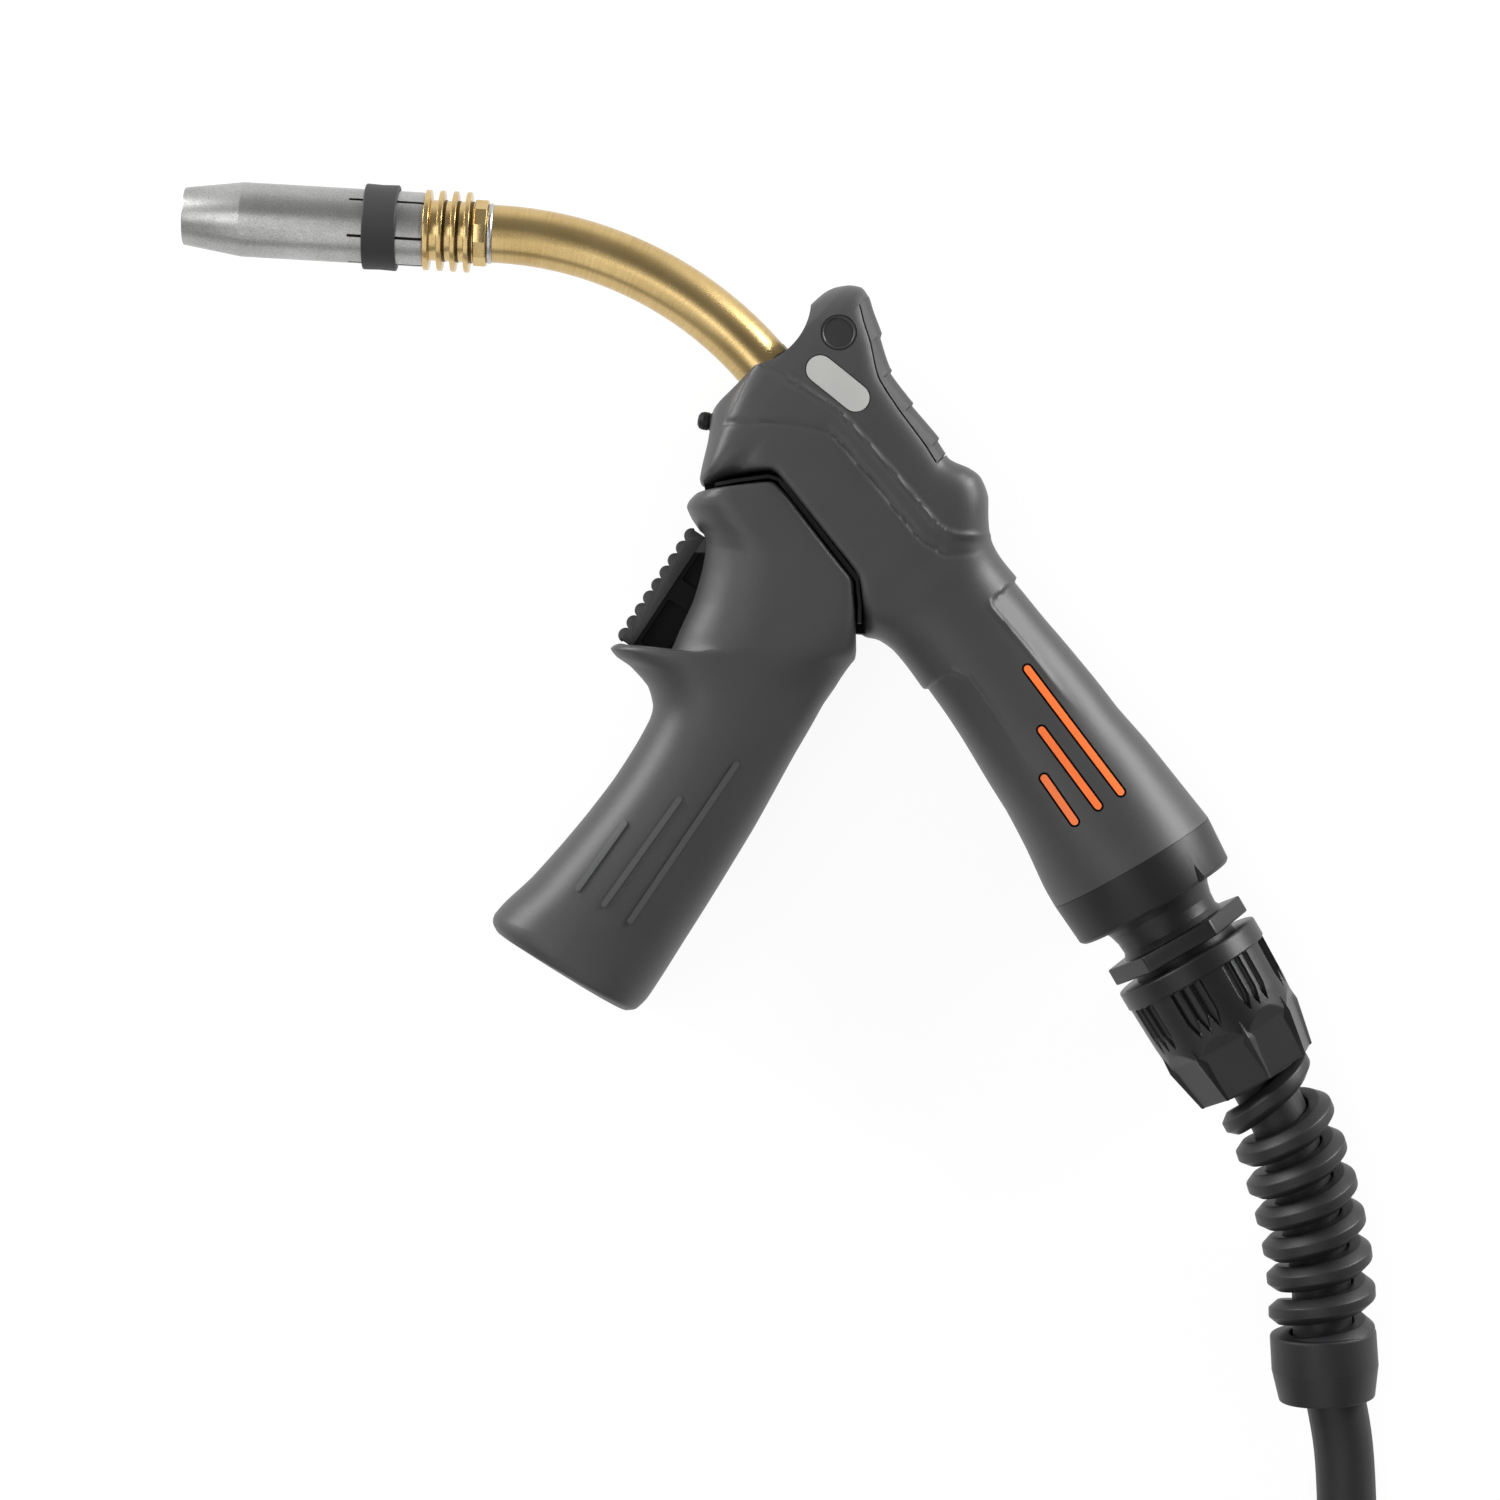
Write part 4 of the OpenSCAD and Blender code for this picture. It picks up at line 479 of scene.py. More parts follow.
route = [p * MM for p in cable_route()]
cable_curve = bpy.data.curves.new("cable", "CURVE")
cable_curve.dimensions = "3D"
cable_curve.bevel_depth = CABLE_R * MM
cable_curve.bevel_resolution = 6
cable_curve.use_fill_caps = True
spline = cable_curve.splines.new("POLY")
spline.points.add(len(route) - 1)
for point, at in zip(spline.points, route):
    point.co = (*at, 1)
spline.use_smooth = True
cable = bpy.data.objects.new("cable", cable_curve)
scene.collection.objects.link(cable)
cable_curve.materials.append(CABLE_RUBBER)
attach(cable, "cable_set")
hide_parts("cable_lead", "cable_coil", "cable_tail")


# ---- Casing skins, drawn in the handle frame ----
# A rung crosses the casing. It gives its two ends as (along, across), first on the pad's or the trigger's
# edge, what its half thickness has over the casing's own, and how square its section is to each end.
BARREL = [
    [-4.0, 25.0, 1.6, -13.5, -9.0, 2.2, 2.2], [-5.6, 27.2, 0.6, -15.0, -5.5, 2.4, 2.6],
    [-5.0, 30.0, 2.2, -17.0, -3.5, 2.6, 3.0], [-3.0, 33.2, 6.5, -21.5, -2.4, 3.4, 4.0],
    [-0.4, 35.2, 13.0, -29.2, -1.6, 4.2, 6.0], [2.6, 35.0, 15.6, -28.0, -1.2, 4.8, 7.0],
    [6.5, 33.2, 18.5, -21.5, -0.8, 5.0, 7.0], [12.0, 31.0, 23.2, -13.8, -0.4, 5.0, 22.0],
    [20.5, 27.2, 28.0, -13.0, -0.2, 5.0, 30.0], [30.0, 26.2, 36.5, -12.9, 0.0, 5.0, 30.0],
    [41.5, 25.9, 49.0, -12.8, 0.0, 5.0, 30.0], [49.0, 25.4, 54.5, -12.7, 0.0, 5.0, 30.0],
    [54.0, 28.0, 59.0, -13.1, 0.0, 4.8, 26.0], [58.0, 29.2, 63.8, -15.8, 0.0, 4.6, 16.0],
    [63.0, 27.8, 71.0, -20.6, -0.2, 4.2, 4.0], [67.5, 24.0, 75.0, -17.6, -0.6, 3.6, 3.0],
    [72.0, 21.0, 79.0, -16.4, -1.0, 3.0, 2.6], [78.0, 20.5, 85.0, -16.2, -1.2, 2.6, 2.6],
    [88.0, 20.9, 95.0, -16.6, -1.4, 2.6, 2.6], [103.0, 21.1, 109.0, -17.2, -1.2, 2.6, 2.6],
    [115.0, 20.8, 120.0, -18.0, -1.0, 2.5, 2.5], [127.0, 20.6, 131.0, -19.0, -0.6, 2.4, 2.4],
    [139.0, 21.3, 142.0, -21.0, 0.2, 2.3, 2.3], [152.0, 21.5, 153.0, -23.6, 1.2, 2.15, 2.15]]
GRIP_LINES = [
    [16.3, -29.8, 24.2, -16.6, -3.4, 3.0, 9.0], [15.2, -32.2, 26.0, -14.8, -1.2, 2.6, 20.0],
    [15.5, -34.8, 30.0, -14.1, -0.6, 2.5, 20.0], [16.4, -36.2, 37.0, -14.1, -0.3, 2.5, 20.0],
    [19.5, -37.0, 45.5, -14.2, -0.1, 2.5, 20.0], [23.3, -37.3, 53.0, -14.2, 0.0, 2.5, 20.0],
    [26.7, -38.9, 59.0, -14.3, 0.0, 2.5, 20.0], [31.2, -43.8, 64.7, -18.1, 0.0, 2.5, 20.0],
    [36.0, -50.5, 69.4, -21.5, 0.0, 2.5, 9.0], [39.7, -57.7, 73.3, -24.2, 0.0, 2.5, 5.0],
    [42.9, -64.6, 75.0, -25.9, 0.0, 2.5, 4.0], [38.2, -69.3, 75.4, -27.6, -0.2, 3.0, 3.5],
    [33.7, -72.3, 76.0, -29.8, -0.4, 3.6, 3.2], [33.3, -74.8, 76.7, -32.0, -0.6, 3.6, 3.0],
    [36.0, -74.9, 77.5, -34.2, -0.6, 3.0, 2.8], [40.3, -73.6, 78.3, -36.7, -0.6, 2.3, 2.6],
    [47.0, -73.2, 79.3, -39.9, -0.6, 2.4, 2.5], [51.8, -75.2, 81.2, -44.4, -0.6, 2.4, 2.5],
    [54.2, -78.1, 82.8, -48.3, -0.6, 2.4, 2.5], [57.3, -85.2, 85.3, -54.6, -0.6, 2.4, 2.5],
    [60.8, -95.3, 89.6, -64.6, -0.4, 2.4, 2.5], [63.7, -106.5, 93.6, -74.1, -0.2, 2.4, 2.5],
    [66.0, -117.3, 97.6, -84.6, 0.0, 2.4, 2.5], [67.9, -128.2, 101.8, -95.9, 0.4, 2.4, 2.5],
    [68.6, -137.1, 105.8, -107.1, 0.8, 2.4, 2.5], [69.5, -141.8, 109.4, -117.1, 1.0, 2.4, 2.5],
    [70.9, -143.5, 111.6, -123.8, 0.6, 2.4, 2.5], [73.3, -144.0, 112.0, -127.8, -0.6, 2.4, 2.5],
    [75.4, -143.2, 110.8, -130.0, -4.0, 2.4, 2.5]]
HEAD_HALF, GRIP_HALF, RING_R = 21.0, 19.5, 23.25
WALL = 2.4
SLOT_HALF, SLOT_RUNGS = 8.4, range(6, 11)    # half the trigger's slot, and the grip's rungs that it crosses


def rungs_of(table, half):
    """The rungs of a table, with their half thickness in full."""
    return [[*row[:4], half + row[4], row[5], row[6]] for row in table]


def ring_rung():
    """The barrel's last rung, where it meets the end ring all round."""
    tilt = math.radians(RING_TILT)
    s, n = RING_R * math.sin(tilt), RING_R * math.cos(tilt)
    return [RING_AT[0] + s, RING_AT[1] + n, RING_AT[0] - s, RING_AT[1] - n, RING_R, 2.0, 2.0]


BARREL_RUNGS = rungs_of(BARREL, HEAD_HALF) + [ring_rung()]
GRIP_RUNGS = rungs_of(GRIP_LINES, GRIP_HALF)
CURVED = 0.6             # how far the edges follow a curve, and not straight lines, between rungs
SECTION_SAMPLES = 400


def fine_rungs(rungs, pitch, lifts):
    """Rungs at an even pitch along the casing, with the lift of each."""
    table = np.array(rungs)
    reach = np.maximum(np.linalg.norm(np.diff(table[:, 0:2], axis=0), axis=1),
                       np.linalg.norm(np.diff(table[:, 2:4], axis=0), axis=1))
    made, raised = [], []
    for k in range(len(table) - 1):
        p1, p2 = table[k], table[k + 1]
        p0 = table[k - 1] if k else 2 * p1 - p2
        p3 = table[k + 2] if k + 2 < len(table) else 2 * p2 - p1
        steps = max(2, int(math.ceil(reach[k] / pitch)))
        for i in range(steps + (k == len(table) - 2)):
            u = i / steps
            straight = p1 + (p2 - p1) * u
            made.append(CURVED * curve_between(p0, p1, p2, p3, u) + (1 - CURVED) * straight)
            raised.append(lifts[k] + (lifts[k + 1] - lifts[k]) * u)
    return np.array(made), np.array(raised)


def section_points(rungs, lifts, inset, columns, along=None):
    """Rows of points round the half sections, evenly spaced along each."""
    rows = []
    for k, rung in enumerate(rungs):
        a, b = rung[0:2], rung[2:4]
        length = np.linalg.norm(a - b)
        way, middle, reach, wide = (a - b) / length, (a + b) / 2, length / 2 - inset, rung[4] - inset
        first = math.asin(min(1.0, lifts[k] / wide) ** (rung[5] / 2)) if lifts[k] > 0 else 0.0
        sweep = smooth(0, 1, np.linspace(0, 1, SECTION_SAMPLES))
        t = np.concatenate(([first], first + (math.pi - first) * sweep[1:]))
        c, s = np.cos(t), np.abs(np.sin(t))
        power = np.where(c > 0, 2 / rung[5], 2 / rung[6])
        across = np.sign(c) * np.abs(c) ** power
        height = wide * s ** power
        flat = middle + np.outer(across * reach, way)
        if along is not None:
            flat = flat + along[k]
        points = np.column_stack((flat, height))
        points[-1, 2] = 0.0
        run = np.concatenate(([0], np.cumsum(np.linalg.norm(np.diff(points, axis=0), axis=1))))
        even = np.linspace(0, run[-1], columns + 1)
        rows.append(np.column_stack([np.interp(even, run, points[:, i]) for i in range(3)]))
    return np.array(rows)


def outward(points):
    """Unit normals of a grid of points, away from the casing's inside."""
    along = np.gradient(points, axis=0)
    across = np.gradient(points, axis=1)
    normal = np.cross(along, across)
    length = np.linalg.norm(normal, axis=2, keepdims=True)
    normal = normal / np.maximum(length, 1e-9)
    middle = normal[:, points.shape[1] // 2, 2]
    return normal if middle.mean() > 0 else -normal


def line_distance(places, line):
    """Distance of each place to a polyline."""
    best = np.full(places.shape[:-1], 1e9)
    for a, b in zip(line, line[1:]):
        a, b = np.array(a, float), np.array(b, float)
        d = b - a
        u = np.clip(((places - a) @ d) / (d @ d), 0, 1)
        gap = np.linalg.norm(places - (a + u[..., None] * d), axis=-1)
        best = np.minimum(best, gap)
    return best


def inside(places, outline):
    """Whether each place lies in a closed outline."""
    x, y = places[..., 0], places[..., 1]
    held = np.zeros(x.shape, bool)
    for (x1, y1), (x2, y2) in zip(outline, outline[1:] + outline[:1]):
        crosses = (y1 > y) != (y2 > y)
        with np.errstate(divide="ignore", invalid="ignore"):
            at = (x2 - x1) * (y - y1) / (y2 - y1) + x1
        held ^= crosses & (x < at)
    return held


# The side view's places are counted in its own steps. The handle frame starts at VIEW_START in it, and its
# way along the casing is VIEW_WAY.
VIEW_START, VIEW_STEPS = (757, 374), 3.8
VIEW_WAY = (0.6157, 0.7880)
CAMERA_FOOT = np.array((HANDLE.inverted() @ Vector((*CAMERA_AT, PLANE)))[:2])


def plan(u, v, height=20.0):
    """Handle frame place of a point of the side view that lies at a height on the casing."""
    dx, dy = u - VIEW_START[0], v - VIEW_START[1]
    seen = np.array((dx * VIEW_WAY[0] + dy * VIEW_WAY[1], dx * VIEW_WAY[1] - dy * VIEW_WAY[0])) / VIEW_STEPS
    return tuple(CAMERA_FOOT + (seen - CAMERA_FOOT) * (1 - height / CAMERA_HEIGHT))


COVER_EDGE = [plan(*p) for p in ((735, 345), (770, 367), (808, 390), (840, 412), (884, 462), (940, 528),
                                 (947, 534), (973, 535), (1010, 534))]
COVER_FOOT = [plan(*p) for p in ((725, 421), (770, 422), (806, 425.5), (826, 430), (838, 440), (878, 487),
                                 (916, 534), (930, 547), (947, 554), (973, 553), (1010, 549))]
FAR_SIDE = [(75, 60), (-30, 60)]
COVER_STEP = 0.55
COVER_LIP, LIP_WIDTH = 0.55, 0.7
COVER_CREASE, CREASE_WIDTH = 0.5, 0.65
BACK_FACET = [plan(*p) for p in ((988, 592), (991, 606), (1023, 643), (1060, 690), (1096, 731), (1123, 762))]
LOW_FACET = [plan(*p) for p in ((952, 671), (969, 678), (996, 716), (1034, 775), (1062, 822))]
# Each facet's depth, less than nothing for the one on the grip's side, and where it starts and ends.
BACK_CUT, BACK_START, BACK_END = 1.25, plan(990, 592)[0] + 1.2, 124
LOW_CUT, LOW_START, LOW_END = -1.1, plan(940, 672)[0] + 1.0, 128
FACET_RIDGE, RIDGE_WIDTH = 0.32, 0.8
FACET_ROUND = 2.2
FACET_RUN_OUT = 30


def ripple(gap, width):
    """One at a line, fading to nothing about a width away."""
    return np.exp(-(gap / width) ** 2)


def cover_relief(places):
    """How far the head's lower part lies under the raised cover, with a lip above and a crease below."""
    up = inside(places, COVER_EDGE + FAR_SIDE)
    low = ~inside(places, COVER_FOOT + FAR_SIDE)
    to_edge, to_foot = line_distance(places, COVER_EDGE), line_distance(places, COVER_FOOT)
    share = to_edge / np.maximum(to_edge + to_foot, 1e-6)
    share = np.where(up, 0.0, np.where(low, 1.0, share))
    fade = 1 - smooth(66, 74, places[..., 0])
    edge = COVER_LIP * ripple(to_edge, LIP_WIDTH) - COVER_CREASE * ripple(to_foot, CREASE_WIDTH)
    return (edge - COVER_STEP * share) * fade


def facet_relief(places, line, depth, start, end):
    """A facet cut outside a ridge line, with a step at its start and running out at its end."""
    a, b = np.array(line[-2]), np.array(line[-1])
    drawn = list(line) + [tuple(b + (b - a) * 3)]
    out = 60 if depth > 0 else -60
    held = inside(places, drawn + [(drawn[-1][0] + 20, out), (start - 10, out), (start - 10, drawn[0][1])])
    gap = line_distance(places, drawn)
    s = places[..., 0]
    run = smooth(start, start + 0.9, s) * (1 - smooth(end - FACET_RUN_OUT, end, s))
    cut = abs(depth) * (1 - np.exp(-gap / FACET_ROUND)) * held
    return (FACET_RIDGE * ripple(gap, RIDGE_WIDTH) - cut) * run


def barrel_relief(points):
    """How far the head and barrel's skin stands out at each of its points."""
    places = points[..., :2]
    flank = smooth(9, 16, np.abs(points[..., 2]))
    relief = cover_relief(places) * np.maximum(flank, smooth(10, 25, places[..., 0]))
    relief = relief + facet_relief(places, BACK_FACET, BACK_CUT, BACK_START, BACK_END)
    relief = relief + facet_relief(places, LOW_FACET, LOW_CUT, LOW_START, LOW_END)
    return relief


def no_relief(points):
    """A skin that is left as it is."""
    return np.zeros(points.shape[:2])


def softened(points, start, full, fade, end, front=0.02, reach=20):
    """Places blended along the casing between four stations of its far edge; its rims stay as they are."""
    weights = np.exp(-np.linspace(-2, 2, 2 * reach + 1) ** 2)
    padded = np.pad(points, ((reach, reach), (0, 0), (0, 0)), mode="edge")
    blended = sum(w * padded[k:k + len(points)] for k, w in enumerate(weights)) / weights.sum()
    share = np.linspace(0, 1, points.shape[1])
    back = points[:, -1, 0]
    held = np.outer(smooth(start, full, back) * (1 - smooth(fade, end, back)),
                    smooth(front, 2.6 * front + 0.11, share) * (1 - smooth(0.84, 0.99, share)))[..., None]
    return points * (1 - held) + blended * held


def closed_end(points):
    """The rows with a flat floor added, drawn in to the middle of the last row."""
    last = points[-1]
    middle = (last[0] + last[-1]) / 2
    middle[2] = 0
    floor_rows = [middle + (last - middle) * share for share in (0.94, 0.75, 0.5, 0.25, 0.003)]
    return np.concatenate([points, np.array(floor_rows)])


NOSE_DISH = ((-16.4, 8.4), 17.5)
# Of each casing: the pitch of its rows and the columns of its half, how its inner skin draws back, and where
# along it its far edge is softened.
BARREL_GRID, BARREL_WAYS, BARREL_SOFT = (0.62, 120), ((1, 0), None, 10), (60, 68, 94, 110)
GRIP_GRID, GRIP_WAYS, GRIP_SOFT = (0.8, 72), ((0.4, -0.9), (-0.75, 0.65), 8), (57, 67, 84, 93, 0.1)


def half_shell(rungs, lifts, pitch, columns, side, relief, ways, soften, nose=None):
    """Half of a hollow casing: an outer skin with its relief, and an inner one a wall further in.

    ways: how the inner skin draws back at the front and, where it is closed, at the end, and the rows that
    this takes. nose: the round dish that the front wall follows."""
    front_way, end_way, depth = ways
    fine, raised = fine_rungs(rungs, pitch, lifts)
    outer = section_points(fine, raised, 0.0, columns)
    index = np.arange(len(fine))
    along = np.outer(np.maximum(0, 1 - index / depth), front_way) * WALL
    if end_way:
        along = along + np.outer(np.maximum(0, 1 - index[::-1] / depth), end_way) * WALL
    inner = section_points(fine, raised, WALL, columns, along)
    if nose:
        inner[np.hypot(inner[..., 0] - nose[0][0], inner[..., 1] - nose[0][1]) < nose[1] + WALL, 2] = 0.05
    rise = relief(outer)
    outer = softened(outer, *soften)
    outer = outer + outward(outer) * rise[..., None]
    outer[:, -1, 2] = 0.0
    outer[:, 0, 2] = raised
    if end_way:
        outer, inner = closed_end(outer), closed_end(inner)
    for skin_points in (outer, inner):
        skin_points[..., 2] *= side
    return between(outer, inner)


# ---- Floor and light ----
def studio_floor():
    """A wide pale floor that glows a little of itself."""
    bm = bmesh.new()
    bmesh.ops.create_grid(bm, x_segments=1, y_segments=1, size=30)
    mesh = bpy.data.meshes.new("floor")
    bm.to_mesh(mesh)
    bm.free()
    floor = bpy.data.objects.new("floor", mesh)
    scene.collection.objects.link(floor)
    material, tree, shader = blank_material("studio floor")
    shader.inputs["Base Color"].default_value = (0.9, 0.9, 0.9, 1)
    shader.inputs["Roughness"].default_value = 0.9
    glow = new_node(tree, "Emission", {"Strength": 1.06})
    mix = new_node(tree, "MixShader", {"Fac": 0.86})
    wire(tree, (shader, "BSDF", mix, 1), (glow, "Emission", mix, 2),
         (mix, "Shader", tree.nodes["Material Output"], "Surface"))
    mesh.materials.append(material)


def world_light():
    """Light that falls off towards the zenith and towards the near side."""
    world = bpy.data.worlds.new("studio")
    scene.world = world
    world.use_nodes = True
    tree = world.node_tree
    place = new_node(tree, "TexCoord")
    parts = new_node(tree, "SeparateXYZ")
    ramp = new_node(tree, "ValToRGB")
    for element, position, level in zip(ramp.color_ramp.elements, (0.0, 1.0), (1.0, 0.2)):
        element.position = position
        element.color = (level, level, level, 1)
    for position, level in ((0.25, 0.75), (0.5, 0.32)):
        element = ramp.color_ramp.elements.new(position)
        element.color = (level, level, level, 1)
    nearer = new_node(tree, "MapRange", {"From Min": -1.0, "From Max": 0.4, "To Min": 0.4})
    shaded = new_node(tree, "Mix", {"Factor": 1.0}, data_type="RGBA", blend_type="MULTIPLY")
    wire(tree, (place, "Generated", parts, "Vector"), (parts, "Z", ramp, "Fac"),
         (parts, "Y", nearer, "Value"), (ramp, "Color", shaded, "A"),
         (nearer, "Result", shaded, "B"), (shaded, "Result", tree.nodes["Background"], "Color"))
    tree.nodes["Background"].inputs["Strength"].default_value = 1.0


def lamps():
    """Four soft lamps, each turned to the middle of the floor."""
    for name, at, size, power in (("upper left softbox", (-1.5, 1.0, 0.5), 0.9, 32.0),
                                  ("upper right softbox", (1.4, 1.1, 0.5), 0.9, 42.0),
                                  ("front softbox", (-0.2, -1.1, 1.25), 1.6, 8.0),
                                  ("tip softbox", (-0.65, 0.0, 1.3), 0.7, 4.0)):
        data = bpy.data.lights.new(name, "AREA")
        data.shape = "SQUARE"
        data.size = size
        data.energy = power
        lamp = bpy.data.objects.new(name, data)
        scene.collection.objects.link(lamp)
        lamp.location = at
        lamp.rotation_euler = (Vector((0, 0, 0)) - Vector(at)).to_track_quat("-Z", "Y").to_euler()


studio_floor()
world_light()
lamps()


# ---- Nozzle and front end, along the nose ----
BODY_AT, FIN_MARGIN, FIN_PITCH, FIN_WIDTH, FINS = 5, 0.85, 3.54, 1.5, 4
NOZZLE_AT = BODY_AT + 2 * FIN_MARGIN + 3 * FIN_PITCH + FIN_WIDTH / 2
NOZZLE_LENGTH, NOZZLE_R, NOZZLE_BORE = 63.4, 9.75, 8.05
TAPER_AT, TIP_R, TIP_BORE, TIP_LAND = 48.1, 7.5, 6.25, 4.7
SLOTS, SLOT_LENGTH, SLOT_HALF_WIDTH, FIRST_SLOT = 6, 19.7, 0.38, 38
ROOT_R, FIN_R, BODY_BORE, SPIGOT_R = 7.95, 10.55, 2.45, 4.95
# The last three numbers size the dark rings of painted shade at the fins' roots.
SHADE_RING_R, SHADE_RING_WIDTH, SHADE_RING_PITCH = 8.08, 2.08, 3.56


def gas_nozzle():
    """The tapered tube, with its slots at the rear."""
    top = NOZZLE_LENGTH
    tube = lathe([(NOZZLE_BORE, 0.05), (NOZZLE_R - 0.13, 0.05), (NOZZLE_R, 1.2), (NOZZLE_R, TAPER_AT),
                  (TIP_R, top), (TIP_BORE, top), (TIP_BORE, top - TIP_LAND), (NOZZLE_BORE, TAPER_AT)],
                 0.35, 144)
    slots = [(block((7, -SLOT_HALF_WIDTH, -1), (12, SLOT_HALF_WIDTH, SLOT_LENGTH), 0.12),
              turn("Z", 360 * k / SLOTS + FIRST_SLOT)) for k in range(SLOTS)]
    finished("gas_nozzle_plated", carved(tube, joined(*slots)), NOSE @ shift(0, 0, NOZZLE_AT), "nozzle",
             NICKEL, ("gas_nozzle",), 30)


def nozzle_band():
    """The rubber band near the nozzle's rear, a little drawn in at its middle."""
    band = lathe([(9.8, 0), (11.05, 0), (11.25, 0.3), (11.1, 4.4), (11.25, 8.5), (11.05, 8.8), (9.8, 8.8)],
                 0.25, 128)
    finished("nozzle_band_rubber", band, NOSE @ shift(0, 0, NOZZLE_AT + 7.1), "nozzle", BAND_RUBBER,
             ("nozzle_band",))


def cooling_body():
    """The finned body behind the nozzle, with rings of dark brass as painted shade at the roots of its fins.
    """
    outline = [(BODY_BORE, BODY_AT), (ROOT_R, BODY_AT)]
    for k in range(FINS):
        z = NOZZLE_AT - FIN_WIDTH - (FINS - 1 - k) * FIN_PITCH
        outline += [(ROOT_R, z), (FIN_R, z + 0.12), (FIN_R, z + FIN_WIDTH - 0.12), (ROOT_R, z + FIN_WIDTH)]
    outline = outline[:-1] + [(10.5, NOZZLE_AT - 0.02), (6.4, NOZZLE_AT), (6.4, NOZZLE_AT + 10),
                              (SPIGOT_R, NOZZLE_AT + 10), (SPIGOT_R, 13), (BODY_BORE, 13)]
    finished("cooling_fins", lathe(outline, 0.28, 128), NOSE, "handle", BRASS, ("cooling_body",))
    # Rings of dark brass between the fins are painted shade in the grooves.
    starts = [NOZZLE_AT - SHADE_RING_PITCH * k - 2.06 for k in range(1, FINS)]
    shade_rings = [lathe([(7.5, z), (SHADE_RING_R, z), (SHADE_RING_R, z + SHADE_RING_WIDTH), (7.5, z + SHADE_RING_WIDTH)], 0, 96)
               for z in starts]
    finished("cooling_groove_shade", joined(*shade_rings), NOSE, "handle", BRASS_GROOVE_SHADE, ())


def neck_nut_and_washer():
    """The twelve-sided nut in front of the neck, and its thin washer."""
    facets = slab(disc(8.95, 12, first=0.13), 1.6, 4.95, 0.35, 3)
    finished("neck_nut_brass", facets, NOSE, "handle", BRASS, ("neck_nut",), 20)
    washer = lathe([(4.6, 0), (7.45, 0), (7.9, 0.5), (7.9, 1.2), (7.5, 1.6), (4.6, 1.6)], 0.2, 96)
    finished("neck_washer_steel", washer, NOSE, "handle", STEEL, ("neck_washer",))


NECK_R, NECK_IN_CASING = 7.6, 34


def neck():
    """The bent tube: a ring swept round the bend, drawn out straight at both ends."""
    steps, sides = 72, 64
    bm = bmesh.new()
    ring = bmesh.ops.create_circle(bm, cap_ends=False, segments=sides, radius=NECK_R)["verts"]
    bmesh.ops.rotate(bm, verts=ring, cent=(0, 0, 0), matrix=Matrix.Rotation(math.pi / 2, 3, "Y"))
    drawn = bmesh.ops.extrude_edge_only(bm, edges=bm.edges[:])["geom"]
    tail = [g for g in drawn if isinstance(g, bmesh.types.BMVert)]
    bmesh.ops.translate(bm, verts=tail, vec=(NECK_IN_CASING, 0, 0))
    bmesh.ops.translate(bm, verts=bm.verts, vec=(-NECK_STRAIGHT, 0, 0))
    start = [v for v in bm.verts if v.co.x < 0]
    edges = [e for e in bm.edges if all(v in start for v in e.verts)]
    bmesh.ops.spin(bm, geom=start + edges, cent=(-NECK_STRAIGHT, -BEND_R, 0), axis=(0, 0, 1),
                   angle=math.radians(BEND), steps=steps, use_merge=False)
    bmesh.ops.remove_doubles(bm, verts=bm.verts, dist=1e-4)
    front_way = Matrix.Rotation(math.radians(BEND), 3, "Z") @ Vector((-1, 0, 0))
    rims = [e for e in bm.edges if e.is_boundary and e.verts[0].co.x < -20]
    drawn = bmesh.ops.extrude_edge_only(bm, edges=rims)["geom"]
    bmesh.ops.translate(bm, verts=[g for g in drawn if isinstance(g, bmesh.types.BMVert)],
                        vec=front_way * NECK_STRAIGHT)
    bmesh.ops.holes_fill(bm, edges=[e for e in bm.edges if e.is_boundary], sides=0)
    bmesh.ops.recalc_face_normals(bm, faces=bm.faces)
    layer = bm.loops.layers.uv.new("run")
    for face in bm.faces:
        for loop in face.loops:
            co = loop.vert.co
            back = co.x + NECK_STRAIGHT
            angle = math.atan2(-back, co.y + BEND_R)
            run = angle * BEND_R if back < 0 else -back
            out = math.hypot(back, co.y + BEND_R) - BEND_R if back < 0 else co.y
            loop[layer].uv = (run, 3 * math.atan2(out, co.z + 1e-9))
    finished("neck_tube_brass", bm, TAIL, "handle", BRASS_TUBE, ("neck_tube",), 50)


gas_nozzle()
nozzle_band()
cooling_body()
neck_nut_and_washer()
neck()


# ---- Casing pieces ----
SKY = 60    # height over the middle plane from which a piece is laid on the casing


def draped(length, half, at, way, tree, side, top, bottom, columns=8, turns=(6, 18, 32, 46, 60, 75, 90)):
    """A flat bar with round ends laid on a skin, its faces at two heights from the skin."""
    arc = [half * (1 - math.cos(math.radians(a))) for a in turns]
    steps = max(3, int((length - 2 * half) / 1.2))
    middle = np.linspace(half, length - half, steps)[1:-1]
    runs = np.concatenate((arc, middle, [length - x for x in arc[::-1]]))
    way = np.array(way) / np.linalg.norm(way)
    across = np.array([-way[1], way[0]])
    rows = []
    for x in runs:
        end = min(x, length - x)
        wide = math.sqrt(half * half - (half - end) ** 2) if end < half else half
        row = []
        for k in range(columns + 1):
            flat = np.array(at) + way * (x - half) + across * wide * (2 * k / columns - 1)
            hit = tree.ray_cast(Vector((*flat, SKY * side)), Vector((0, 0, -side)))[0]
            row.append((*flat, hit.z))
        rows.append(row)
    skin = np.array(rows)
    upper, lower = skin.copy(), skin.copy()
    upper[..., 2] += side * top
    lower[..., 2] += side * bottom
    return between(upper, lower)


def between(upper, lower):
    """The closed solid between two grids of points of one size."""
    bm = grid_of(upper)
    mark = bm.verts.layers.int["place"]
    columns = upper.shape[1]
    grown = bmesh.ops.extrude_face_region(bm, geom=bm.faces[:], use_keep_orig=True)
    for vert in (g for g in grown["geom"] if isinstance(g, bmesh.types.BMVert)):
        i, j = divmod(vert[mark], columns)
        vert.co = lower[i, j]
    bmesh.ops.recalc_face_normals(bm, faces=bm.faces)
    return bm


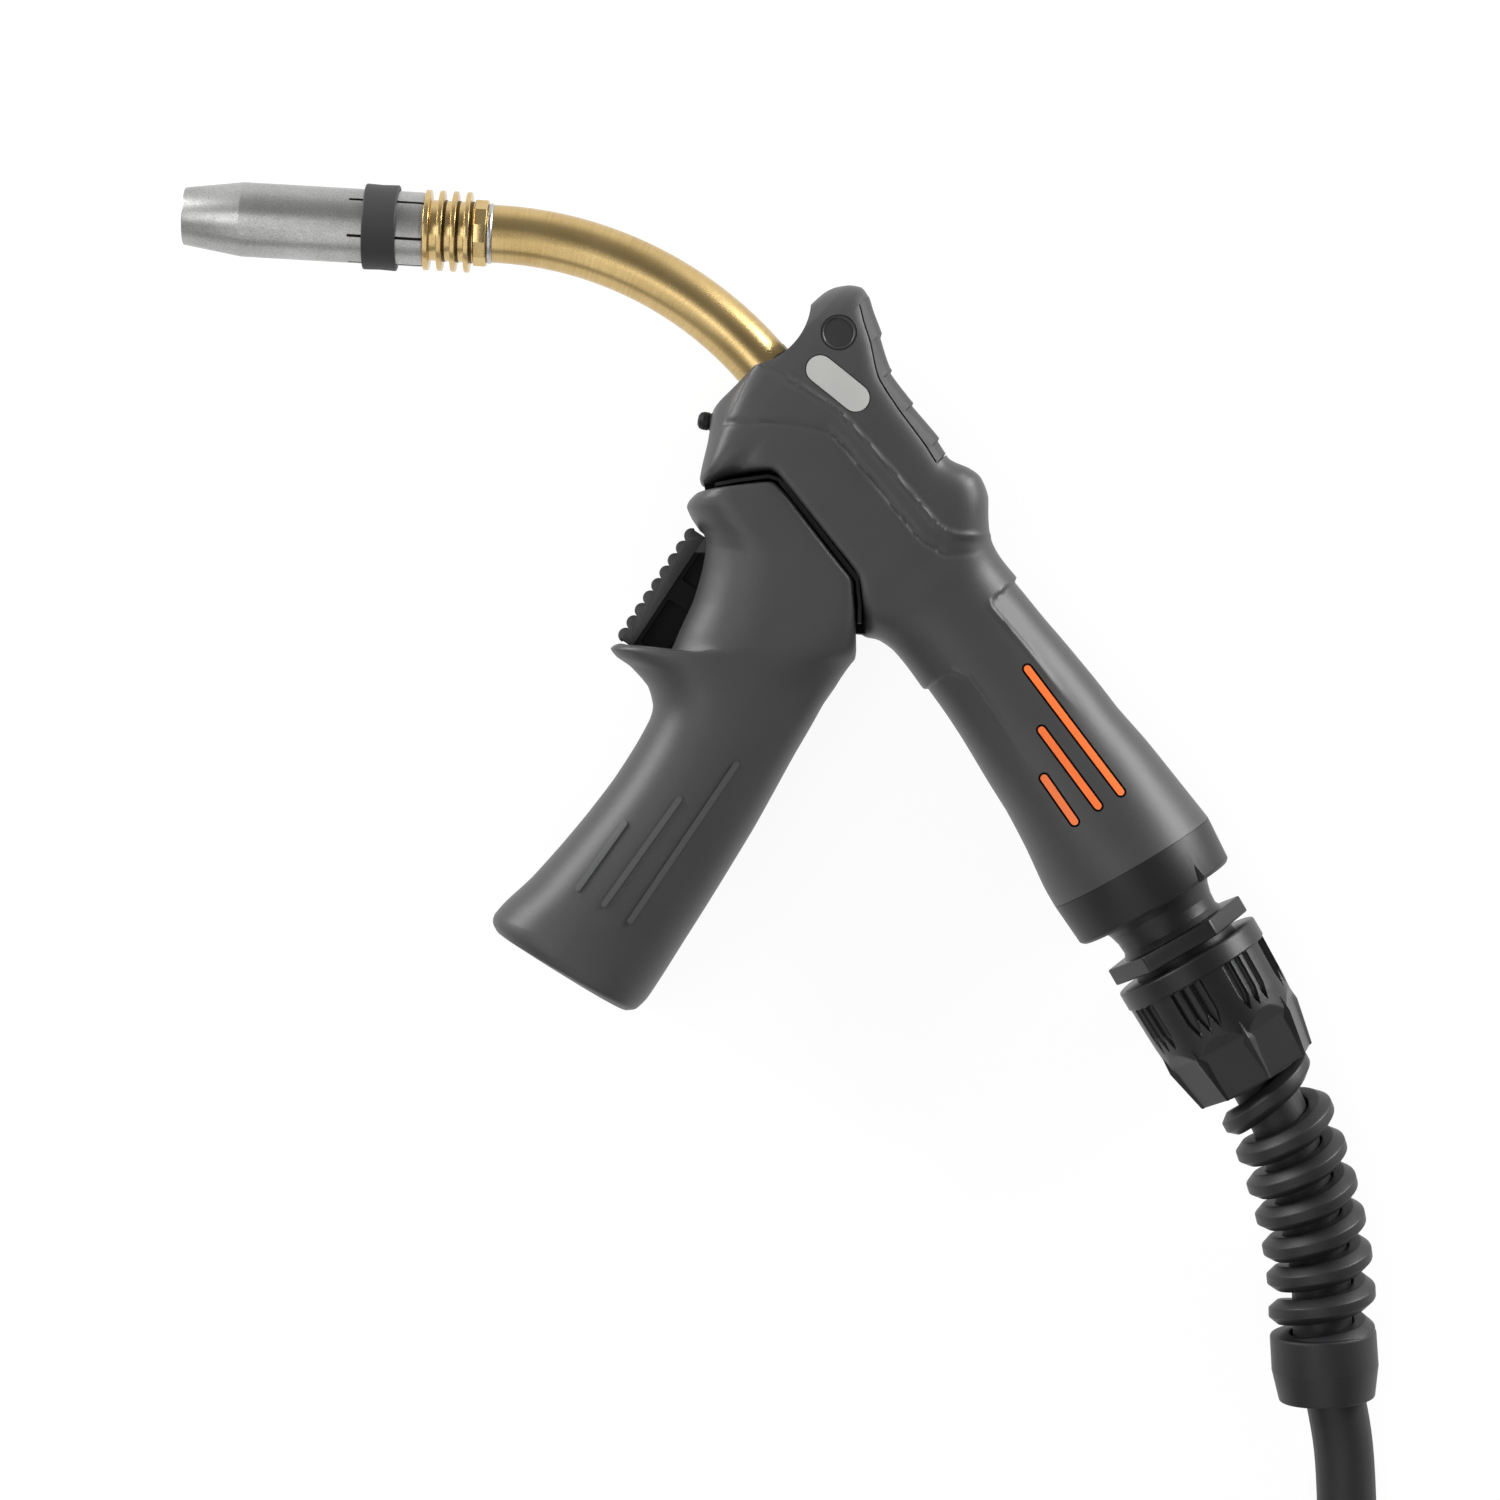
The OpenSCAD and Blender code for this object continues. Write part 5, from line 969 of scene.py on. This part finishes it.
STRIPES = [(104.5, 7.1, 144.3, 6.4), (119.2, 0.2, 143.5, -0.5), (129.4, -6.9, 143.0, -7.7)]
LABEL_AT, LABEL_WAY, LABEL_LENGTH, LABEL_HALF = (16.2, 13.8), 13.0, 19.0, 3.6
BADGE_AT, BADGE_R = (5.9, 22.2), 4.5
BARREL_SCREWS = [(14, 19), (44, 18), (72, -10.5), (96, 14), (136, 12.5)]
GRIP_SCREWS = [(35, -24), (66, -58), (82, -100), (92, -118)]
GRIP_BARS = [(71.8, -99.7, 77.6, -119.3), (75.6, -84.6, 85.0, -116.5), (77.6, -67.4, 92.6, -113.9)]


def bars(rows, half, tree, side, top, bottom):
    """Bars laid on a skin, each from one place to another."""
    parts = []
    for a, b, c, d in rows:
        way = np.array((c - a, d - b))
        length = np.linalg.norm(way) + 2 * half
        parts.append(draped(length, half, (a, b), way, tree, side, top, bottom, 4))
    return joined(*parts)


def label_solid(tree, grow, top, bottom):
    """The long label with its round ends, or the room it lies in."""
    way = (math.cos(math.radians(LABEL_WAY)), math.sin(math.radians(LABEL_WAY)))
    half = LABEL_HALF + grow
    start = np.array(LABEL_AT) - np.array(way) * (LABEL_LENGTH / 2 - LABEL_HALF)
    return draped(LABEL_LENGTH + 2 * grow, half, start, way, tree, 1, top, bottom, 12)


def badge_solid(tree, grow, top, bottom, rim=0.0):
    """The round badge, or the room it lies in."""
    half = BADGE_R + grow
    rim_start, rim_full = half - 0.62, half - 0.42
    bm = draped(2 * half + 0.01, half, BADGE_AT, (1, 0.3), tree, 1, top, bottom, 40, range(3, 91, 3))
    for vert in bm.verts:
        out = math.hypot(vert.co.x - BADGE_AT[0], vert.co.y - BADGE_AT[1])
        if rim and vert.normal.z > 0.5:
            vert.co.z += rim * float(smooth(rim_start, rim_full, out))
    return bm


TRIGGER_ROOM = [[(-2.6, -4), (-2.6, 2.5), (-5.8, 4.5), (-5.8, 12), (3, 12), (3, -4)],
                [(28, -4), (33.9, -4), (33.9, 9), (28, 9)],
                [(22, 8), (32.2, 8), (32, 12.6), (29.2, 15.6), (22, 16.8)]]
PAD_STEPS = (43.2, 32.0, 21.8, 12.4, 2.6)
PAD_START, PAD_END, PAD_HALF, PAD_RISE = 2.6, 47.4, 3.9, 0.75
HEAD_CORNER = -28.5    # across; the rows of the casing up to this corner fan out round the head's front


def pad_solid(grow, top, bottom):
    """The pad as a curved plate on the head's edge, in steps that rise towards the front."""
    fine, raised = fine_rungs(BARREL_RUNGS, 0.5, [0.0] * len(BARREL_RUNGS))
    start = int(np.argmax(fine[:, 3] < HEAD_CORNER))
    rows = [k for k in range(start, len(fine)) if PAD_START - grow <= fine[k, 0] <= PAD_END + grow]
    sections = section_points(fine, raised, 0.0, 84)
    skin = sections[rows, :40]
    out = outward(sections)[rows, :40]
    edge = np.linalg.norm(skin[..., :2] - skin[:, :1, :2], axis=2)
    counts = [np.interp(PAD_HALF + grow, row, np.arange(len(row))) for row in edge]
    columns = 18
    half, normal = [], []
    for row, way, count in zip(skin, out, counts):
        places = np.linspace(0, count, columns)
        index = np.arange(len(row))
        half.append(np.column_stack([np.interp(places, index, row[:, i]) for i in range(3)]))
        normal.append(np.column_stack([np.interp(places, index, way[:, i]) for i in range(3)]))
    half, normal = np.array(half), np.array(normal)
    whole = np.concatenate((half[:, :0:-1] * (1, 1, -1), half), axis=1)
    ways = np.concatenate((normal[:, :0:-1] * (1, 1, -1), normal), axis=1)
    ways[:, columns - 1, 2] = 0
    s = fine[rows, 0]
    rise = np.zeros(len(rows))
    for far, near in zip(PAD_STEPS, PAD_STEPS[1:]):
        held = (s <= far) & (s > near)
        rise[held] = PAD_RISE * (s[held] - near) / (far - near)
    share = np.abs(np.linspace(-1, 1, 2 * columns - 1))
    soft = 1 - smooth(0.8, 1.0, share)
    lift = top + (rise[:, None] if not grow else 0.0) * soft[None, :]
    upper = whole + ways * lift[..., None]
    lower = whole + ways * bottom
    return between(upper, lower)


SCREW_POCKET_R, SCREW_HOLE_R, SCREW_FLOOR = 3.1, 1.6, 6.0


def screw_pockets(places):
    """The rooms above the screws' heads, open to the far side."""
    return joined(*[(slab(disc(SCREW_POCKET_R, 40), -40, -SCREW_FLOOR), shift(*at)) for at in places])


def screw_posts(places, tree):
    """Sleeves that line the screw pockets of the far half, down to the screws' heads."""
    posts = []
    for at in places:
        hit = tree.ray_cast(Vector((*at, -SKY)), Vector((0, 0, 1)))[0]
        top = -hit.z - 1.2
        profile = [(SCREW_POCKET_R, SCREW_FLOOR), (SCREW_POCKET_R, top), (3.7, top), (3.7, 0.2),
                   (SCREW_HOLE_R, 0.2), (SCREW_HOLE_R, SCREW_FLOOR)]
        posts.append((lathe(profile, 0, 40), shift(at[0], at[1]) @ turn("X", 180)))
    return joined(*posts)


NECK_HOLE_R, BUTTON_HOLE_R, ROOM_HALF = 7.75, 2.5, 8.2
STRIPE_HALF, BED_HALF, BED_DEPTH = 0.95, 1.48, -1.28


def barrel_half(side, word):
    """One half of the head and barrel with its cut-outs, painted shade on the floors of its stripe grooves,
    and its stripes.
    """
    lifts = [0.0] * len(BARREL_RUNGS)
    barrel = half_shell(BARREL_RUNGS, lifts, *BARREL_GRID, side, barrel_relief, BARREL_WAYS, BARREL_SOFT,
                        NOSE_DISH)
    tree = BVHTree.FromBMesh(barrel)
    cuts = [slab(disc(NOSE_DISH[1], 96, NOSE_DISH[0]), -30, 30),
            (slab(disc(NECK_HOLE_R, 64), -30, 30), NECK_IN_HANDLE @ turn("Y", 90)),
            (slab(disc(BUTTON_HOLE_R, 40), -8, 12), BUTTON_IN_HANDLE),
            pad_solid(0.4, 3.0, -1.15),
            bars(STRIPES, BED_HALF + 0.02, tree, side, 1.0, BED_DEPTH - 0.02)]
    if side > 0:
        cuts.append(label_solid(tree, 0.25, 1.0, -0.8))
        cuts.append(badge_solid(tree, 0.2, 1.0, -1.2))
    else:
        cuts.append(screw_pockets(BARREL_SCREWS))
        on_handle("barrel_screw_posts", screw_posts(BARREL_SCREWS, tree), CASING, ())
    on_handle(f"barrel_{word}", carved(barrel, joined(*cuts)), CASING, (f"barrel_shell_{word}",),
              40)
    # The dark beds in the stripe grooves are painted shade, in the near-black shade material.
    on_handle(f"stripe_groove_shade_{word}", bars(STRIPES, BED_HALF, tree, side, -0.75, BED_DEPTH), PAINTED_SHADE, (),
              30)
    on_handle(f"stripe_inlays_{word}", bars(STRIPES, STRIPE_HALF, tree, side, -0.1, BED_DEPTH), ORANGE,
              ("stripe_inlays",), 30)
    return tree


def grip_half(side, word):
    """One half of the pistol grip with the trigger's room and its raised bars."""
    lifts = [SLOT_HALF if k in SLOT_RUNGS else 0.0 for k in range(len(GRIP_RUNGS))]
    grip = half_shell(GRIP_RUNGS, lifts, *GRIP_GRID, side, no_relief, GRIP_WAYS, GRIP_SOFT)
    tree = BVHTree.FromBMesh(grip)
    on_handle(f"grip_bars_{word}", bars(GRIP_BARS, 0.78, tree, side, 0.7, -0.6), GRIP_BAR, (),
              30)
    rooms = [(slab(room, -ROOM_HALF, ROOM_HALF), TRIGGER_IN_HANDLE) for room in TRIGGER_ROOM]
    if side < 0:
        rooms.append(screw_pockets(GRIP_SCREWS))
        on_handle("grip_screw_posts", screw_posts(GRIP_SCREWS, tree), GRIP, ())
    on_handle(f"grip_{word}", carved(grip, joined(*rooms)), GRIP, (f"grip_shell_{word}",), 40)


left_skin = barrel_half(1, "left")
grip_half(1, "left")
barrel_half(-1, "right")
grip_half(-1, "right")

# A sheet in painted shade fills the joint between the head and the grip, where the gap lies in shade.
JOINT_SHADE = [(14.6, -29), (17.5, -21), (22.3, -12.4), (28, -11.5), (59, -11.6), (64.6, -14.5), (71.5, -19.8),
       (69, -22.5), (64.2, -19), (58.6, -15.2), (30, -15), (26.5, -15.6), (24.6, -17.2), (16.9, -30.3)]
on_handle("casing_joint_shade", slab(JOINT_SHADE, -6, 6), PAINTED_SHADE, ())
on_handle("label_bare", label_solid(left_skin, 0.0, -0.06, -0.78), LABEL, ("label_plate",), 30)
on_handle("badge_bare", badge_solid(left_skin, 0.0, -0.5, -1.18, 0.4), BADGE, ("badge_disc",), 30)


# ---- Thumb pad, lock button and trigger ----
def thumb_pad():
    """The stepped pad on the head's edge."""
    on_handle("thumb_pad_ribbed", pad_solid(0.0, 0.12, -1.0), PAD, ("thumb_pad",), 26)


def lock_button():
    """A small button with a domed top."""
    bm = lathe([(0, -7), (2.35, -7), (2.35, 0.3), (2.1, 0.55), (2.4, 0.8), (2.4, 2.2), (2.05, 3.1),
                (1.2, 3.6), (0, 3.7)], 0.2, 64, False)
    finished("lock_button_domed", bm, HANDLE @ BUTTON_IN_HANDLE, "button", BLACK_PLASTIC, ("lock_button",))


def trigger():
    """The ribbed lever with its eyes, and its cheeks with their pockets between the casing's halves; the
    cheeks and the stop are in painted shade.
    """
    pitch, r, strip, ribs = 3.9, 2.0, 3.1, 9
    edge = [(-1.6, strip), (-1.6, -0.3)]
    for k in range(ribs):
        edge += [(k * pitch + r * math.cos(math.radians(a)), r * math.sin(math.radians(a)))
                 for a in range(-166, -13, 8)]
    last = (ribs - 1) * pitch
    edge += [(last + 1.6, -0.3), (last + 1.6, strip)]
    pad = slab(edge, -7.5, 7.5, 0.3, 2)
    web = [(-1.4, 2.9), (3.4, 2.9), (0.4, 7.8), (-0.2, 9.2), (-2.5, 10.5), (-4.6, 9.4), (-5.2, 7.8),
           (-2.5, 6.3)]
    eyes = [slab(web, a, b, 0.2, 1) for a, b in ((-7.4, -3.3), (3.3, 7.4))]
    end, deep = last + 0.7, 12.6
    cheek = [(-1, 2.9), (end, 2.9), (end + 0.4, 5.1), (end - 0.6, 8.6), (end - 3.6, 11.6), (end - 7.6, deep),
             (8, deep), (1.5, 11.2), (-1, 9.6)]
    pockets = ([(2.6, 4.1), (11, 4.1), (11, deep - 1.2), (7, deep - 1.6), (2.6, 9.8)],
               [(17, 4.1), (end - 1.2, 4.1), (end - 1.6, 8), (end - 4.4, 10.6), (end - 8, deep - 1.2),
                (17, deep - 1.2)])
    cheeks = []
    for side in (1, -1):
        low, high = sorted((side * 5.4, side * 7.2))
        floor = sorted((side * 6.3, side * 9.0))
        wall = slab(eased(cheek, 0.8), low, high, 0.2, 2)
        cheeks.append(carved(wall, joined(*[slab(eased(pocket, 0.8), *floor) for pocket in pockets])))
    stop = block((12.5, 3.0, -4), (15.5, 11.5, 4), 0.3, 2)
    finished("trigger_ribbed", joined(pad, *eyes), TRIGGER, "trigger_lever", TRIGGER_PLASTIC, ("trigger",),
             35)
    # The cheeks and the stop are coloured near black as painted shade, for the deep room between the casing's
    # halves.
    finished("trigger_cheeks", joined(*cheeks, stop), TRIGGER, "trigger_lever", PAINTED_SHADE, (),
             35)


thumb_pad()
lock_button()
trigger()


# ---- End ring, ball joint and clamp nut, along the ring's axis ----
FLANGE_R, FLANGE_TURN = 19.9, 34.7
NUT_TURN = 17.0
MARK_TURN, MARK_AT = 147, (22.9, 0, 10.2)
BALL_R, BALL_AT, STEM_BORE = 17.5, 4, 8.15


def end_ring():
    """The bevelled ring at the end of the barrel, with a small pointed mark cut into it."""
    bm = lathe([(18.95, -3.5), (19.9, -3.5), (19.9, 0), (RING_R, 0), (22.4, 11.6), (21.6, 12.4), (17.7, 12.4),
                (17.0, 11.6), (17.0, 11.15), (18.95, 11.15)], 0.3, 160)
    mark = bmesh.new()
    bmesh.ops.create_cone(mark, cap_ends=True, segments=4, radius1=0.02, radius2=2.6, depth=6.5)
    place = turn("Z", MARK_TURN) @ shift(*MARK_AT)
    finished("end_ring_bevelled", carved(bm, joined((mark, place))), RING, "handle", RING_PLASTIC,
             ("end_ring",), 30)


def ball_and_flange():
    """The ball, its stem and the six-sided flange behind it."""
    ball = [(BALL_R * math.cos(math.radians(a)), BALL_AT + BALL_R * math.sin(math.radians(a)))
            for a in (-33, -25, -15, -5, 5, 15, 22)]
    stem = [(15.6, 12.6), (14.6, 14.6), (13.9, 17.2), (13.7, 20.0), (14.6, 21.75), (14.6, 26.3), (14.4, 26.4),
            (14.4, 38.4), (STEM_BORE, 38.4)]
    profile = [(STEM_BORE, -5.5)] + ball + stem
    hexagon = eased(disc(FLANGE_R, 6, first=math.radians(FLANGE_TURN)), 1.2)
    finished("ball_stem_flanged", joined(lathe(profile, 0.3, 128), slab(hexagon, 21.7, 26.4, 0.45, 3)), RING,
             "cable_set", NUT_PLASTIC, ("ball_stem",), 30)


NUT_SIDES = 8
HALF_SIDE = math.radians(180 / NUT_SIDES)
FLUTE_PITCH, FLUTE_DEPTH, FLUTED_HALF = 2.9, 1.3, 4.36


def nut_radius(angle, z):
    """Outside radius of the clamp nut at an angle from the middle of a panel and a height."""
    upper = np.interp(z, (0, 5.2, 5.5, 17, 21, 25.3, 38), (20.25, 20.25, 19.85, 19.5, 19.2, 18.75, 17.6))
    a = angle * 18.5
    half = np.interp(z, (5.6, 5.7, 14.6, 19.4), (0.02, 1.42, 1.42, 0.02))
    off = np.abs(np.mod(a + FLUTE_PITCH / 2, FLUTE_PITCH) - FLUTE_PITCH / 2)
    off = np.where(np.abs(a) > FLUTED_HALF, 9.0, off)
    body = upper - FLUTE_DEPTH * np.clip(1 - (off / half) ** 4, 0, 1) ** 0.6 * smooth(0, 0.5, half)
    panel = np.interp(z, (16, 20.5, 24, 37.2), (20.5, 19.2, 17.7, 15.3)) / np.cos(angle)
    arc = (HALF_SIDE - np.abs(angle)) * 17.5
    wide = np.interp(z, (18.5, 26.0, 37.2), (0.0, 1.9, 0.9))
    crest = np.interp(z, (18.5, 25.0, 37.2), (19.3, 19.75, 17.1))
    ridge = crest - np.maximum(arc, 0) / np.maximum(wide, 1e-3) * 1.6
    body = np.minimum(body, panel)
    return np.where(arc < wide, np.maximum(body, ridge), body)


def clamp_nut():
    """The eight-sided nut with its flutes."""
    heights = np.concatenate([np.linspace(low, high, count) for low, high, count in (
        (0.6, 5.1, 8), (5.2, 5.9, 6), (6.2, 6.8, 3), (7.2, 12.4, 8), (12.8, 27.0, 44), (27.6, 36.9, 20))])
    turns = np.linspace(0, math.tau, 100 * NUT_SIDES + 1)
    local = np.mod(turns - math.radians(NUT_TURN) + HALF_SIDE, 2 * HALF_SIDE) - HALF_SIDE

    def level(radius):
        return np.full(turns.shape, radius)

    rows = [(level(14.5), 0.0), (level(19.55), 0.0), (level(20.05), 0.2)]
    rows += [(nut_radius(local, level(z)), z) for z in heights]
    end = nut_radius(local, level(37.1))
    rows += [(end - 0.1, 37.1), (end - 0.4, NUT_LENGTH), (level(12.5), NUT_LENGTH), (level(12.5), 28.2),
             (level(14.5), 26.2)]
    rows.append(rows[0])
    points = np.array([np.column_stack((r * np.cos(turns), r * np.sin(turns), level(z))) for r, z in rows])
    bm = grid_of(points, True)
    bmesh.ops.recalc_face_normals(bm, faces=bm.faces)
    finished("clamp_nut_fluted", bm, RING @ shift(0, 0, NUT_AT), "cable_set", NUT_PLASTIC, ("clamp_nut",),
             24)


end_ring()
ball_and_flange()
clamp_nut()


# ---- Spiral and cuff ----
SPIRAL_R, SPIRAL_BORE, SPIRAL_TURNS = 14.2, 8.4, 7
SPIRAL_STEPS = SPIRAL_TURNS * 56
CUFF_WAY = Vector((2.3, -17.6, -1.4))


def spiral_relief():
    """One ribbon wound along the cable from the clamp nut, its last turn sinking into the cuff."""
    def centre(u):
        return spline_at(SPIRAL_ROUTE, u * (len(SPIRAL_ROUTE) - 1))

    def way(u):
        u = min(u, 0.99)
        return (centre(u + 0.01) - centre(max(0, u - 0.01))).normalized()

    outline = eased([(SPIRAL_BORE, -3.1), (SPIRAL_R - 2.5, -3.45), (SPIRAL_R, -1.3), (SPIRAL_R, 1.3),
                     (SPIRAL_R - 2.5, 3.45), (SPIRAL_BORE, 3.1)], 0.7, True, 3)
    rows = []
    for i in range(SPIRAL_STEPS + 26):
        u, angle = 0.012 + 0.985 * i / SPIRAL_STEPS, math.radians(360 * SPIRAL_TURNS * i / SPIRAL_STEPS)
        along = way(u)
        across = Vector((0, 0, 1)).cross(along).normalized()
        out = across * math.cos(angle) + along.cross(across) * math.sin(angle)
        size = 1 - 0.03 * float(smooth(0.94, 1.0, u))
        rows.append([tuple(centre(u) + out * p[0] * size + along * p[1]) for p in outline + outline[:1]])
    bm = grid_of(np.array(rows), True)
    bmesh.ops.holes_fill(bm, edges=[e for e in bm.edges if e.is_boundary], sides=0)
    bmesh.ops.recalc_face_normals(bm, faces=bm.faces)
    collar = lathe([(8.2, 56.6), (12.4, 56.6), (12.4, 66.2), (8.2, 66.2)], 0.2, 64)
    finished("strain_spiral_moulded", joined(bm, (collar, RING)), HERE, "cable_set", SPIRAL_PLASTIC,
             ("strain_spiral",), 40)
    place = Matrix.Translation(SPIRAL_ROUTE[-1]) @ CUFF_WAY.to_track_quat("Z", "Y").to_matrix().to_4x4()
    cuff = lathe([(SPIRAL_BORE, 0), (14.05, 0), (14.12, 9.6), (12.75, 17.5), (12.6, 17.9), (11.6, 17.9),
                  (10.6, 6), (SPIRAL_BORE, 2.4)], 0.9, 128, True, 5)
    finished("strain_cuff_moulded", cuff, place, "cable_set", SPIRAL_PLASTIC, ("strain_cuff",),
             20)


spiral_relief()

# ---- Finishes of the CAD nodes that stay ----
LOOKS = {
    "contact_tip": COPPER, "tip_holder": BRASS, "gas_diffuser": CERAMIC, "nozzle_insulator": INSULATOR,
    "neck_insulator": INSULATOR, "conductor_tube": COPPER, "wire_liner": STEEL, "neck_clamp": BRASS,
    "clamp_screws": STEEL, "cable_coupler": BRASS, "inner_cable": CABLE_RUBBER, "shell_screws": STEEL,
    "grip_bracket": BLACK_PLASTIC, "trigger_pin": STEEL, "trigger_spring": STEEL,
    "microswitch": BLACK_PLASTIC, "switch_plunger": RED, "switch_bracket": BLACK_PLASTIC,
    "switch_wires": RED, "ring_retainer": RING_PLASTIC, "socket_ring": INSULATOR,
    "gland_insert": BAND_RUBBER, "cable_entry": CABLE_RUBBER, "plug_boot": BAND_RUBBER,
    "plug_housing": BLACK_PLASTIC, "plug_nut": NUT_PLASTIC, "plug_body": BRASS, "spigot_seal": BAND_RUBBER,
    "control_pins": BRASS}
for node, material in LOOKS.items():
    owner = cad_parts[node]
    owner.data.materials.clear()
    owner.data.materials.append(material)
